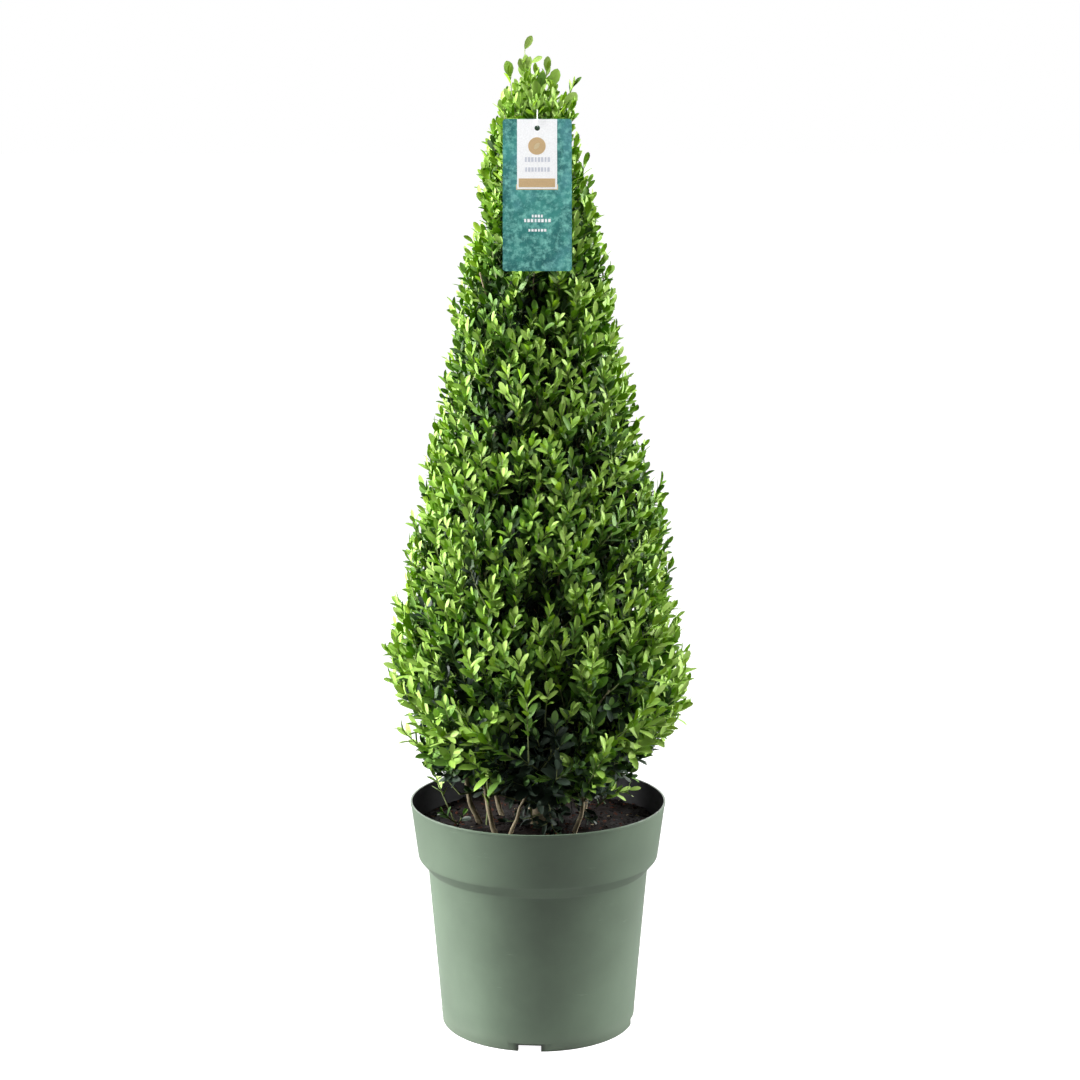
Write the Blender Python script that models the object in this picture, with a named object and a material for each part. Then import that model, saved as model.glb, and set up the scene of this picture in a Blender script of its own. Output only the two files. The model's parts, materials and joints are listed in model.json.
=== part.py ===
"""Clipped small-leaved holly cone in a nursery pot.

A Blender script in metres, +Z up.  The origin is on the ground, on the pot's
axis, and -Y is the side that the hang label faces.  Each sub-part is one
object: the pot, the soil, the main stem that runs up through the foliage, the
basal stems round it, the masses of foliage that are cut round the main stem,
and the hang label with its tie.
"""
import math
import random

import bmesh
import bpy
from mathutils import Matrix, Vector, noise

GAP = 0.0004                  # clearance where one piece rests on another
ON_AXIS = 1e-6                # a point closer than this to the axis is on it
SHARP_ANGLE = math.radians(35.0)

# Pot: turned shell with a collar under the rim, standing on a foot ring
POT_HEIGHT = 0.2511
RIM_RADIUS = 0.1400           # outside, at the top
COLLAR_FOOT_RADIUS = 0.1315   # outside, at the collar's lower edge
COLLAR_FOOT_Z = 0.1894
BODY_TOP_RADIUS = 0.1208      # outside, just under the collar's bevel
BODY_TOP_Z = 0.1768
FOOT_RADIUS = 0.1061
POT_WALL = 0.0022
FOOT_ROUND = 0.0012           # rounding of the foot's outer edge
FOOT_RING_WIDTH = 0.0075
BASE_UNDERSIDE_Z = 0.0095
BASE_THICKNESS = 0.0026
WALL_START_Z = 0.0135         # where the wall's plain taper starts, over the foot
POT_SEGMENTS = 72

# Drain notches round the foot: a shallow pocket with a channel through it
NOTCH_COUNT = 4
NOTCH_FIRST_AZIMUTH = math.radians(-95.0)
NOTCH_WIDTH = 0.056
NOTCH_DEPTH = 0.0024
NOTCH_HEIGHT = 0.0090
CHANNEL_WIDTH = 0.025
CHANNEL_HEIGHT = 0.0066
CHANNEL_LENGTH = 0.030
CUTTER_OVERRUN = 0.010        # how far a cutter stands out past the face it cuts

# Soil
SOIL_TOP_Z = 0.2230

# Main stem: radius at the soil, above its flare, and at its tip
STEM_FLARE_RADIUS = 0.0135
STEM_RADIUS = 0.0085
STEM_TIP_RADIUS = 0.0024
STEM_FLARE_HEIGHT = 0.022
STEM_FLARE_FALL = 2.5         # how fast the flare fades over that height
STEM_TIP_Z = 0.9800
STEM_FOOT = Vector((0.0030, 0.0010))
STEM_TIP = Vector((-0.0060, 0.0000))
STEM_SWAY = 0.0030            # how far the stem bends off its straight line
STEM_SWAY_RATES = (9.0, 7.0)  # radians of sway on X and on Y, from foot to tip
STEM_RINGS = 20
STEM_RING_POWER = 1.6         # draws the rings together towards the flare
STEM_SIDES = 10

# Basal stems: foot azimuth and distance, top azimuth and distance from the
# pot's axis, radius at the foot and at the top
BASAL_STEMS = {
    "basal_stem_front_left": (218.0, 0.057, 210.0, 0.066, 0.0034, 0.0022),
    "basal_stem_left": (176.0, 0.063, 176.0, 0.080, 0.0036, 0.0024),
    "basal_stem_front": (239.0, 0.062, 262.0, 0.050, 0.0022, 0.0016),
    "basal_stem_right": (41.0, 0.067, 34.0, 0.058, 0.0040, 0.0026),
    "basal_stem_back": (98.0, 0.060, 92.0, 0.070, 0.0036, 0.0024),
    "basal_stem_back_left": (140.0, 0.050, 146.0, 0.064, 0.0032, 0.0022),
    "basal_stem_front_right": (318.0, 0.052, 322.0, 0.064, 0.0030, 0.0020),
}
BASAL_BOW = 0.0040            # how far a basal stem bows outwards
STEM_TOP_GAP = 0.0009         # clearance under the foliage that a stem carries
BASAL_RINGS = 6
BASAL_SIDES = 8

# Low sprigs over the rim: azimuth and distance of the shoot's foot, azimuth,
# distance and height of the sprig, and its half sizes outwards, across and up
LOW_SPRIGS = {
    "left": (171.0, 0.0950, 178.0, 0.1130, 0.2700, (0.0120, 0.0130, 0.0100)),
    "right": (26.0, 0.0690, 4.0, 0.0990, 0.2660, (0.0180, 0.0140, 0.0100)),
}
LOW_SHOOT_RADII = (0.0022, 0.0016)
SPRIG_LUMP = 0.22
SPRIG_LUMP_SCALE = 1.3
SPRIG_ROUNDS = 2              # subdivisions of the lump's sphere

# The clipped cone: its radius at the skirt, at its top and below the skirt
CONE_FOOT_Z = 0.3630
CONE_FOOT_RADIUS = 0.1685
CONE_TOP_Z = 0.9870
CONE_TOP_RADIUS = 0.0415
CONE_BULGE = 0.0095           # swell of the cone's side half way up
SKIRT_LOW_Z = 0.2700
SKIRT_LOW_RADIUS = 0.0850
BOUGH_RISE = 0.30             # rise of the boughs for each metre outwards
REACH_GUESS = 0.10            # first guess at a bough's reach, and its tries
REACH_TRIES = 8
UNDERSIDE_TRIES = 24          # halvings that find the skirt's underside

# Tiers of foliage: lower and upper height at the stem, masses in the ring,
# azimuth of the first seam
TIERS = {
    "skirt": (0.2620, 0.3350, 6, 20.0),
    "lower": (0.3350, 0.4450, 5, 52.0),
    "middle": (0.4450, 0.5750, 4, 38.0),
    "upper": (0.5750, 0.7150, 3, 25.0),
    "high": (0.7150, 0.8500, 3, 85.0),
    "top": (0.8500, 0.9700, 2, 0.0),
}
MASS_STEM_GAP = 0.0007        # clearance between the masses and the main stem
SEAM_AT_STEM = 0.0006         # half the gap between two masses at the stem
SEAM_SPREAD = 0.0026          # how much half that gap opens to the outside
SEAM_WAVE = 0.085             # rise and fall of the seams between tiers, per metre outwards
SEAM_WAVES = 3
SEAM_WAVE_START = math.pi     # so that the skirt's underside is high on +X, low on -X
SEAM_WAVE_TURN = 17.0         # how fast those waves wind round with height
SEAM_DRIFT = 0.16             # swing of the upright seams, in radians
SEAM_DRIFT_RATE = 21.0
MASS_CELLS = (6, 5, 2)        # cells round, up and outwards
MASS_EDGE_DIP = 0.035         # how far a mass's outer edge draws in
MASS_REACH_SPREAD = 0.025     # each mass's reach varies by this share
MASS_CORNER_POWER = 4         # how late along an edge that dip starts
MASS_LUMP = 0.0060
MASS_LUMP_SCALE = 24.0
MASS_SEED = 11

# Loose tuft at the tip, on the end of the main stem, and its tallest sprig:
# rise and radius of each ring
TUFT_SPRIG_RADIUS = 0.0022
TUFT_RADII = (
    (0.000, 0.0240),
    (0.012, 0.0340),
    (0.030, 0.0380),
    (0.050, 0.0380),
    (0.062, 0.0300),
    (0.075, 0.0130),
    (0.080, 1.6 * TUFT_SPRIG_RADIUS),
)
TUFT_TOP_Z = 1.0720
TUFT_SPRIG_X = -0.0075
TUFT_LOBES = 3
TUFT_LOBE_DEPTH = 0.16
TUFT_LOBE_START = 3.0         # the lobes are full at one part in this of the rise
TUFT_SIDES = 14

# Hang label: a card that leans on the front of the foliage
LABEL_WIDTH = 0.0710
LABEL_HEIGHT = 0.1570
LABEL_THICKNESS = 0.0008
LABEL_CORNER = 0.0030
LABEL_CORNER_STEPS = 4
LABEL_HOLE_RADIUS = 0.0028
LABEL_HOLE_DROP = 0.0094      # hole's centre below the top edge
LABEL_HOLE_SIDES = 16
LABEL_TILT = math.radians(11.5)
LABEL_CENTRE = Vector((-0.0006, -0.0650, 0.9109))
TIE_RADIUS = 0.0005
TIE_HALF_WIDTH = 0.0017       # half the distance between the tie's strands
TIE_CLEAR = 0.0020            # how far the tie runs past the card's top edge
TIE_PULL = 0.0060             # how softly it then bends back
TIE_END = Vector((LABEL_CENTRE.x, -0.0363, 0.9960))
TIE_STEPS = 6
TIE_END_STEPS = 8
TIE_SIDES = 6

# Finishes: colour and roughness
FINISHES = {
    "pot_green": ((0.17, 0.24, 0.17), 0.45),
    "dark_soil": ((0.020, 0.013, 0.009), 0.95),
    "pale_bark": ((0.24, 0.18, 0.10), 0.80),
    "leaf_green": ((0.12, 0.26, 0.03), 0.45),
    "teal_card": ((0.05, 0.28, 0.29), 0.35),
    "clear_tie": ((0.80, 0.82, 0.80), 0.25),
    "cutter_grey": ((0.50, 0.50, 0.50), 0.50),
}


def clear_scene():
    for old in list(bpy.data.objects):
        bpy.data.objects.remove(old, do_unlink=True)


def material(name):
    """The plain material for one of the finishes, made when it's first used."""
    if name in bpy.data.materials:
        return bpy.data.materials[name]
    colour, roughness = FINISHES[name]
    made = bpy.data.materials.new(name)
    made.use_nodes = True
    shader = made.node_tree.nodes["Principled BSDF"]
    shader.inputs["Base Color"].default_value = (*colour, 1.0)
    shader.inputs["Roughness"].default_value = roughness
    return made


def add_object(name, bm, finish):
    """Turn a bmesh into an object that is shaded smooth up to sharp edges."""
    bmesh.ops.recalc_face_normals(bm, faces=bm.faces[:])
    mesh = bpy.data.meshes.new(name)
    bm.to_mesh(mesh)
    bm.free()
    mesh.shade_smooth()
    mesh.set_sharp_from_angle(angle=SHARP_ANGLE)
    mesh.materials.append(material(finish))
    made = bpy.data.objects.new(name, mesh)
    bpy.context.scene.collection.objects.link(made)
    return made


def add_cutter(name, bm):
    """A closed shape that a Boolean modifier takes away from another piece."""
    cutter = add_object(name, bm, "cutter_grey")
    cutter.hide_render = True
    cutter.display_type = "WIRE"
    return cutter


def cut(target, cutter):
    step = target.modifiers.new("cut_" + cutter.name, "BOOLEAN")
    step.operation = "DIFFERENCE"
    step.solver = "EXACT"
    step.object = cutter


def polar(azimuth, radius, height):
    return Vector((radius * math.cos(azimuth), radius * math.sin(azimuth), height))


def blend(low, high, share):
    return low + (high - low) * share


def clamp(share):
    return min(max(share, 0.0), 1.0)


def smooth_share(share):
    share = clamp(share)
    return share * share * (3.0 - 2.0 * share)


def add_strips(bm, rings):
    """Faces between each ring of vertices and the next, all of one length."""
    for lower, upper in zip(rings, rings[1:]):
        for step in range(len(lower)):
            after = (step + 1) % len(lower)
            bm.faces.new((lower[step], lower[after], upper[after], upper[step]))


# ---------------------------------------------------------------- the pot

def turned(profile, segments):
    """Closed solid turned round Z from a profile of (radius, height) points.

    A profile point on the axis becomes one vertex.
    """
    bm = bmesh.new()
    rings = []
    for radius, height in profile:
        if radius < ON_AXIS:
            rings.append([bm.verts.new((0.0, 0.0, height))])
            continue
        ring = [bm.verts.new(polar(math.tau * step / segments, radius, height))
                for step in range(segments)]
        rings.append(ring)
    for lower, upper in zip(rings, rings[1:]):
        for step in range(segments):
            after = (step + 1) % segments
            corners = [lower[step % len(lower)], lower[after % len(lower)],
                       upper[after % len(upper)], upper[step % len(upper)]]
            bm.faces.new(list(dict.fromkeys(corners)))
    if len(rings[0]) > 1 and len(rings[-1]) > 1:
        for step in range(segments):
            after = (step + 1) % segments
            bm.faces.new((rings[-1][step], rings[-1][after], rings[0][after], rings[0][step]))
    return bm


def pot_outside_radius(height):
    if height >= COLLAR_FOOT_Z:
        share = (height - COLLAR_FOOT_Z) / (POT_HEIGHT - COLLAR_FOOT_Z)
        return blend(COLLAR_FOOT_RADIUS, RIM_RADIUS, share)
    if height >= BODY_TOP_Z:
        share = (height - BODY_TOP_Z) / (COLLAR_FOOT_Z - BODY_TOP_Z)
        return blend(BODY_TOP_RADIUS, COLLAR_FOOT_RADIUS, share)
    return blend(FOOT_RADIUS, BODY_TOP_RADIUS, height / BODY_TOP_Z)


def pot_profile():
    """Round the shell: up the outside, down the inside, across the base."""
    base_top = BASE_UNDERSIDE_Z + BASE_THICKNESS
    foot_inside = FOOT_RADIUS - FOOT_RING_WIDTH
    outside = [(FOOT_RADIUS - FOOT_ROUND, 0.0), (pot_outside_radius(FOOT_ROUND), FOOT_ROUND),
               (pot_outside_radius(WALL_START_Z), WALL_START_Z),
               (BODY_TOP_RADIUS, BODY_TOP_Z), (COLLAR_FOOT_RADIUS, COLLAR_FOOT_Z),
               (RIM_RADIUS, POT_HEIGHT)]
    inside = [(RIM_RADIUS - POT_WALL, POT_HEIGHT), (COLLAR_FOOT_RADIUS - POT_WALL, COLLAR_FOOT_Z),
              (BODY_TOP_RADIUS - POT_WALL, BODY_TOP_Z),
              (pot_outside_radius(base_top) - POT_WALL, base_top), (0.0, base_top)]
    underneath = [(0.0, BASE_UNDERSIDE_Z), (foot_inside, BASE_UNDERSIDE_Z), (foot_inside, 0.0)]
    return outside, inside, underneath


def make_pot():
    outside, inside, underneath = pot_profile()
    bm = turned(outside + inside, POT_SEGMENTS)
    under = turned(underneath + outside[:1], POT_SEGMENTS)
    joined = bpy.data.meshes.new("pot_underside")
    under.to_mesh(joined)
    under.free()
    bm.from_mesh(joined)
    bpy.data.meshes.remove(joined)
    bmesh.ops.remove_doubles(bm, verts=bm.verts[:], dist=ON_AXIS)
    pot = add_object("pot", bm, "pot_green")
    cut(pot, notch_cutter("notch_pockets", NOTCH_DEPTH, NOTCH_WIDTH, NOTCH_HEIGHT))
    cut(pot, notch_cutter("notch_channels", CHANNEL_LENGTH, CHANNEL_WIDTH, CHANNEL_HEIGHT))


def notch_cutter(name, depth, width, top):
    """One box for each notch, let into the foot from its outer face."""
    bm = bmesh.new()
    for count in range(NOTCH_COUNT):
        azimuth = NOTCH_FIRST_AZIMUTH + math.tau * count / NOTCH_COUNT
        size = Vector((depth + CUTTER_OVERRUN, width, top + CUTTER_OVERRUN))
        middle = Vector((FOOT_RADIUS - depth + size.x / 2.0, 0.0, top - size.z / 2.0))
        place = Matrix.Rotation(azimuth, 4, "Z") @ Matrix.Translation(middle)
        bmesh.ops.create_cube(bm, size=1.0, matrix=place @ Matrix.Diagonal((*size, 1.0)))
    return add_cutter(name, bm)


def make_soil():
    """The root ball's soil: it fills the pot up to its level top."""
    base_top = BASE_UNDERSIDE_Z + BASE_THICKNESS + GAP
    inset = POT_WALL + GAP
    profile = [(0.0, base_top), (pot_outside_radius(base_top) - inset, base_top),
               (BODY_TOP_RADIUS - inset, BODY_TOP_Z), (COLLAR_FOOT_RADIUS - inset, COLLAR_FOOT_Z),
               (pot_outside_radius(SOIL_TOP_Z) - inset, SOIL_TOP_Z), (0.0, SOIL_TOP_Z)]
    add_object("soil", turned(profile, POT_SEGMENTS), "dark_soil")


# -------------------------------------------------------------- the stems

def stem_centre(height):
    """Centre line of the main stem, which leans and sways a little."""
    share = (height - SOIL_TOP_Z) / (STEM_TIP_Z - SOIL_TOP_Z)
    straight = blend(STEM_FOOT, STEM_TIP, share)
    rate_x, rate_y = STEM_SWAY_RATES
    sway = Vector((math.sin(rate_x * share), math.cos(rate_y * share)))
    return straight + sway * STEM_SWAY * math.sin(math.pi * clamp(share))


def stem_radius(height):
    share = (height - SOIL_TOP_Z) / (STEM_TIP_Z - SOIL_TOP_Z)
    flare = math.exp(-max(height - SOIL_TOP_Z, 0.0) / STEM_FLARE_HEIGHT * STEM_FLARE_FALL)
    plain = blend(STEM_RADIUS, STEM_TIP_RADIUS, clamp(share))
    return plain + (STEM_FLARE_RADIUS - STEM_RADIUS) * flare


def limb(name, centres, radii, sides):
    """A tapering limb with level rings, flat at its foot and at its top."""
    bm = bmesh.new()
    rings = []
    for centre, radius in zip(centres, radii):
        rings.append([bm.verts.new(centre + polar(math.tau * step / sides, radius, 0.0))
                      for step in range(sides)])
    add_strips(bm, rings)
    bm.faces.new(rings[0][::-1])
    bm.faces.new(rings[-1])
    add_object(name, bm, "pale_bark")


def make_main_stem():
    centres = []
    radii = []
    foot_z = SOIL_TOP_Z + GAP
    for ring in range(STEM_RINGS + 1):
        share = (ring / STEM_RINGS) ** STEM_RING_POWER
        height = blend(foot_z, STEM_TIP_Z, share)
        centre = stem_centre(height)
        centres.append(Vector((centre.x, centre.y, height)))
        radii.append(stem_radius(height))
    limb("main_stem", centres, radii, STEM_SIDES)


def bowed_stem(name, foot, top, radii):
    """A thin stem between two points, bowed outwards from the pot's axis."""
    outwards = Vector((foot.x + top.x, foot.y + top.y, 0.0)).normalized()
    centres = []
    along = []
    for ring in range(BASAL_RINGS + 1):
        share = ring / BASAL_RINGS
        bow = outwards * BASAL_BOW * math.sin(math.pi * share)
        centres.append(blend(foot, top, share) + bow)
        along.append(blend(radii[0], radii[1], share))
    limb(name, centres, along, BASAL_SIDES)


def make_basal_stem(name, sizes, masses):
    """A thin stem from the soil to the underside of the skirt."""
    foot_azimuth, foot_reach, top_azimuth, top_reach, foot_radius, top_radius = sizes
    foot = polar(math.radians(foot_azimuth), foot_reach, SOIL_TOP_Z + GAP)
    top = polar(math.radians(top_azimuth), top_reach, 0.0)
    edge = [top + polar(math.tau * step / BASAL_SIDES, top_radius, 0.0)
            for step in range(BASAL_SIDES)]
    top.z = min(skirt_underside(masses, spot) for spot in edge) - STEM_TOP_GAP
    bowed_stem(name, foot, top, (foot_radius, top_radius))


# ------------------------------------------------------------ the foliage

def cone_radius(height):
    """Outline of the clipped cone, with its skirt drawn in underneath."""
    if height < CONE_FOOT_Z:
        share = clamp((height - SKIRT_LOW_Z) / (CONE_FOOT_Z - SKIRT_LOW_Z))
        return blend(SKIRT_LOW_RADIUS, CONE_FOOT_RADIUS, math.sin(0.5 * math.pi * share))
    share = (height - CONE_FOOT_Z) / (CONE_TOP_Z - CONE_FOOT_Z)
    swell = CONE_BULGE * 4.0 * share * (1.0 - share)
    return blend(CONE_FOOT_RADIUS, CONE_TOP_RADIUS, share) + swell


def bough_reach(height):
    """How far a bough that leaves the stem at this height gets to the outline."""
    reach = REACH_GUESS
    for _ in range(REACH_TRIES):
        reach = cone_radius(height + BOUGH_RISE * reach)
    return reach


def seam_drift(height):
    """Turn of the upright seams at a height, the same for every mass."""
    return SEAM_DRIFT * math.sin(SEAM_DRIFT_RATE * height)


class FoliageMass:
    """One mass: a share of a tier's ring, cut round the main stem."""

    def __init__(self, low, high, first_azimuth, last_azimuth, reach_scale):
        self.low = low
        self.high = high
        self.first_azimuth = first_azimuth
        self.last_azimuth = last_azimuth
        self.reach_scale = reach_scale

    def point(self, around, up, out):
        """Place in the mass, from three shares that run from 0 to 1."""
        seam = SEAM_AT_STEM + SEAM_SPREAD * out
        height = blend(self.low + seam, self.high - seam, up)
        azimuth = blend(self.first_azimuth, self.last_azimuth, around) + seam_drift(height)
        centre = stem_centre(height)
        inner = stem_radius(height) + MASS_STEM_GAP
        edge = max(abs(2.0 * around - 1.0), abs(2.0 * up - 1.0)) ** MASS_CORNER_POWER
        outline = bough_reach(height) * self.reach_scale * (1.0 - MASS_EDGE_DIP * edge)
        outline += MASS_LUMP * noise.noise(polar(azimuth, outline, height) * MASS_LUMP_SCALE)
        radius = blend(inner, outline, out)
        phase = SEAM_WAVES * azimuth + SEAM_WAVE_TURN * height + SEAM_WAVE_START
        rise = (BOUGH_RISE + SEAM_WAVE * math.sin(phase)) * (radius - inner)
        aside = seam * (1.0 - 2.0 * around)
        sideways = Vector((-math.sin(azimuth), math.cos(azimuth), 0.0)) * aside
        return Vector((centre.x, centre.y, height)) + polar(azimuth, radius, rise) + sideways


def mass_mesh(mass, cells):
    """The closed surface of a mass: the six sides of a grid in its shares."""
    bm = bmesh.new()
    counts = Vector(cells)
    known = {}

    def corner(a, b, c):
        key = (a, b, c)
        if key not in known:
            known[key] = bm.verts.new(mass.point(a / counts.x, b / counts.y, c / counts.z))
        return known[key]

    for axis in range(3):
        first, second = [other for other in range(3) if other != axis]
        for side in (0, cells[axis]):
            for i in range(cells[first]):
                for j in range(cells[second]):
                    ring = []
                    for di, dj in ((0, 0), (1, 0), (1, 1), (0, 1)):
                        spot = [0, 0, 0]
                        spot[axis] = side
                        spot[first] = i + di
                        spot[second] = j + dj
                        ring.append(corner(*spot))
                    bm.faces.new(ring)
    bmesh.ops.triangulate(bm, faces=bm.faces[:])
    return bm


def foliage_masses():
    """Every mass of the cone by name, each with its own seeded reach."""
    dice = random.Random(MASS_SEED)
    masses = {}
    for tier, (low, high, count, first_seam) in TIERS.items():
        for index in range(count):
            first = math.radians(first_seam) + math.tau * index / count
            last = first + math.tau / count
            reach_scale = 1.0 + dice.uniform(-MASS_REACH_SPREAD, MASS_REACH_SPREAD)
            name = "foliage_%s_%d" % (tier, index + 1)
            masses[name] = FoliageMass(low, high, first, last, reach_scale)
    return masses


def skirt_underside(masses, place):
    """Height of the skirt's underside over a place."""
    azimuth = math.atan2(place.y, place.x) - seam_drift(TIERS["skirt"][0])
    distance = math.hypot(place.x, place.y)
    for name, mass in masses.items():
        around = (azimuth - mass.first_azimuth) % math.tau / (mass.last_azimuth - mass.first_azimuth)
        if name.startswith("foliage_skirt") and around <= 1.0:
            break
    near, far = 0.0, 1.0
    for _ in range(UNDERSIDE_TRIES):
        out = 0.5 * (near + far)
        under = mass.point(around, 0.0, out)
        if math.hypot(under.x, under.y) < distance:
            near = out
        else:
            far = out
    return under.z


def make_low_sprig(side, sizes):
    """A leafy lump over the rim, on a short shoot of its own."""
    foot_azimuth, foot_reach, azimuth, reach, height, half_sizes = sizes
    centre = polar(math.radians(azimuth), reach, height)
    turn = Matrix.Rotation(math.radians(azimuth), 4, "Z")
    bm = bmesh.new()
    bmesh.ops.create_icosphere(bm, subdivisions=SPRIG_ROUNDS, radius=1.0)
    for vert in bm.verts:
        lump = 1.0 + SPRIG_LUMP * noise.noise(vert.co * SPRIG_LUMP_SCALE + centre)
        shaped = Matrix.Diagonal(half_sizes) @ vert.co
        vert.co = centre + turn @ (shaped * lump)
    low = min((vert.co for vert in bm.verts), key=lambda spot: spot.z)
    top = Vector((low.x, low.y, low.z - STEM_TOP_GAP))
    add_object("foliage_low_%s" % side, bm, "leaf_green")
    foot = polar(math.radians(foot_azimuth), foot_reach, SOIL_TOP_Z + GAP)
    bowed_stem("low_shoot_%s" % side, foot, top, LOW_SHOOT_RADII)


def make_tuft():
    """Loose shoots on the stem's tip: three lobes and one tall sprig."""
    foot_z = STEM_TIP_Z + GAP
    bm = bmesh.new()
    rings = []
    top_rise = TUFT_TOP_Z - foot_z
    for rise, radius in (*TUFT_RADII, (top_rise, TUFT_SPRIG_RADIUS)):
        share = rise / top_rise
        centre = Vector((TUFT_SPRIG_X * smooth_share(share), STEM_TIP.y, foot_z + rise))
        ring = []
        for step in range(TUFT_SIDES):
            azimuth = math.tau * step / TUFT_SIDES
            depth = TUFT_LOBE_DEPTH * smooth_share(share * TUFT_LOBE_START)
            lobe = 1.0 + depth * math.cos(TUFT_LOBES * azimuth)
            ring.append(bm.verts.new(centre + polar(azimuth, radius * lobe, 0.0)))
        rings.append(ring)
    add_strips(bm, rings)
    bm.faces.new(rings[0][::-1])
    bm.faces.new(rings[-1])
    bmesh.ops.triangulate(bm, faces=bm.faces[:])
    add_object("foliage_tip", bm, "leaf_green")


# -------------------------------------------------------------- the label

def label_frame():
    """Label's own frame: X across, Z up the card, -Y out of its face."""
    return Matrix.Translation(LABEL_CENTRE) @ Matrix.Rotation(-LABEL_TILT, 4, "X")


def make_label():
    bm = bmesh.new()
    half_width = LABEL_WIDTH / 2.0
    half_height = LABEL_HEIGHT / 2.0
    outline = []
    for index, (side, end) in enumerate(((1, 1), (-1, 1), (-1, -1), (1, -1))):
        centre = Vector((side * (half_width - LABEL_CORNER), 0.0,
                         end * (half_height - LABEL_CORNER)))
        for step in range(LABEL_CORNER_STEPS + 1):
            turn = 0.5 * math.pi * (index + step / LABEL_CORNER_STEPS)
            outline.append(centre + LABEL_CORNER * Vector((math.cos(turn), 0.0, math.sin(turn))))
    front = [bm.verts.new(spot + Vector((0.0, -LABEL_THICKNESS / 2.0, 0.0))) for spot in outline]
    back = [bm.verts.new(spot + Vector((0.0, LABEL_THICKNESS / 2.0, 0.0))) for spot in outline]
    bm.faces.new(front)
    bm.faces.new(back[::-1])
    for step in range(len(outline)):
        after = (step + 1) % len(outline)
        bm.faces.new((front[after], front[step], back[step], back[after]))
    card = add_object("label_card", bm, "teal_card")
    card.matrix_world = label_frame()

    hole = bmesh.new()
    lying = Matrix.Rotation(math.pi / 2.0, 4, "X")
    place = Matrix.Translation((0.0, 0.0, half_height - LABEL_HOLE_DROP)) @ lying
    bmesh.ops.create_cone(hole, cap_ends=True, segments=LABEL_HOLE_SIDES,
                          radius1=LABEL_HOLE_RADIUS, radius2=LABEL_HOLE_RADIUS,
                          depth=CUTTER_OVERRUN, matrix=place)
    cutter = add_cutter("label_hole", hole)
    cutter.matrix_world = label_frame()
    cut(card, cutter)


def tie_middle_line():
    """Line between the tie's two strands: up the card, then back to the tip."""
    frame = label_frame()
    top_edge = LABEL_HEIGHT / 2.0
    start = top_edge - LABEL_HOLE_DROP + LABEL_HOLE_RADIUS - TIE_RADIUS - GAP + TIE_HALF_WIDTH
    bend = top_edge + TIE_CLEAR
    straight = [frame @ Vector((0.0, 0.0, start)), frame @ Vector((0.0, 0.0, bend))]
    pull = frame @ Vector((0.0, 0.0, bend + TIE_PULL))
    curve = []
    for step in range(1, TIE_STEPS + 1):
        share = step / TIE_STEPS
        curve.append(blend(blend(straight[1], pull, share), blend(pull, TIE_END, share), share))
    return straight + curve


def make_label_tie():
    """A thin closed loop through the card's hole, held by the tip's shoots."""
    line = tie_middle_line()
    sideways = Vector((1.0, 0.0, 0.0))
    facing = []
    for index in range(len(line)):
        before = line[max(index - 1, 0)]
        after = line[min(index + 1, len(line) - 1)]
        facing.append((after - before).normalized().cross(sideways))
    loop = []
    for spot, out in zip(line[1:-1], facing[1:-1]):
        loop.append((spot + out * TIE_HALF_WIDTH, out))
    end_along = sideways.cross(facing[-1])
    start_along = sideways.cross(facing[0])
    for step in range(TIE_END_STEPS + 1):
        turn = math.pi * step / TIE_END_STEPS
        out = facing[-1] * math.cos(turn) + end_along * math.sin(turn)
        loop.append((line[-1] + out * TIE_HALF_WIDTH, out))
    for spot, out in zip(line[-2:0:-1], facing[-2:0:-1]):
        loop.append((spot - out * TIE_HALF_WIDTH, -out))
    for step in range(TIE_END_STEPS + 1):
        turn = math.pi * step / TIE_END_STEPS
        out = -facing[0] * math.cos(turn) - start_along * math.sin(turn)
        loop.append((line[0] + out * TIE_HALF_WIDTH, out))
    tie = bmesh.new()
    rings = []
    for middle, out in loop:
        ring = []
        for side in range(TIE_SIDES):
            spin = math.tau * side / TIE_SIDES
            offset = out * math.cos(spin) + sideways * math.sin(spin)
            ring.append(tie.verts.new(middle + TIE_RADIUS * offset))
        rings.append(ring)
    for step, ring in enumerate(rings):
        after = rings[(step + 1) % len(rings)]
        for side in range(TIE_SIDES):
            beside = (side + 1) % TIE_SIDES
            tie.faces.new((ring[side], ring[beside], after[beside], after[side]))
    add_object("label_tie", tie, "clear_tie")


# ---------------------------------------------------------------- the lot

def main():
    clear_scene()
    make_pot()
    make_soil()
    make_main_stem()
    masses = foliage_masses()
    for name, sizes in BASAL_STEMS.items():
        make_basal_stem(name, sizes, masses)
    for name, mass in masses.items():
        add_object(name, mass_mesh(mass, MASS_CELLS), "leaf_green")
    for side, sizes in LOW_SPRIGS.items():
        make_low_sprig(side, sizes)
    make_tuft()
    make_label()
    make_label_tie()


main()
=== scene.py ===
import json
import math
import random
from collections import namedtuple

import bmesh
import bpy
import numpy as np
from bpy.props import FloatProperty, FloatVectorProperty, IntProperty, PointerProperty
from bpy.types import Operator, Panel, PropertyGroup
from mathutils import Matrix, Vector, noise
from mathutils.bvhtree import BVHTree
from mathutils.kdtree import KDTree

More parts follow.
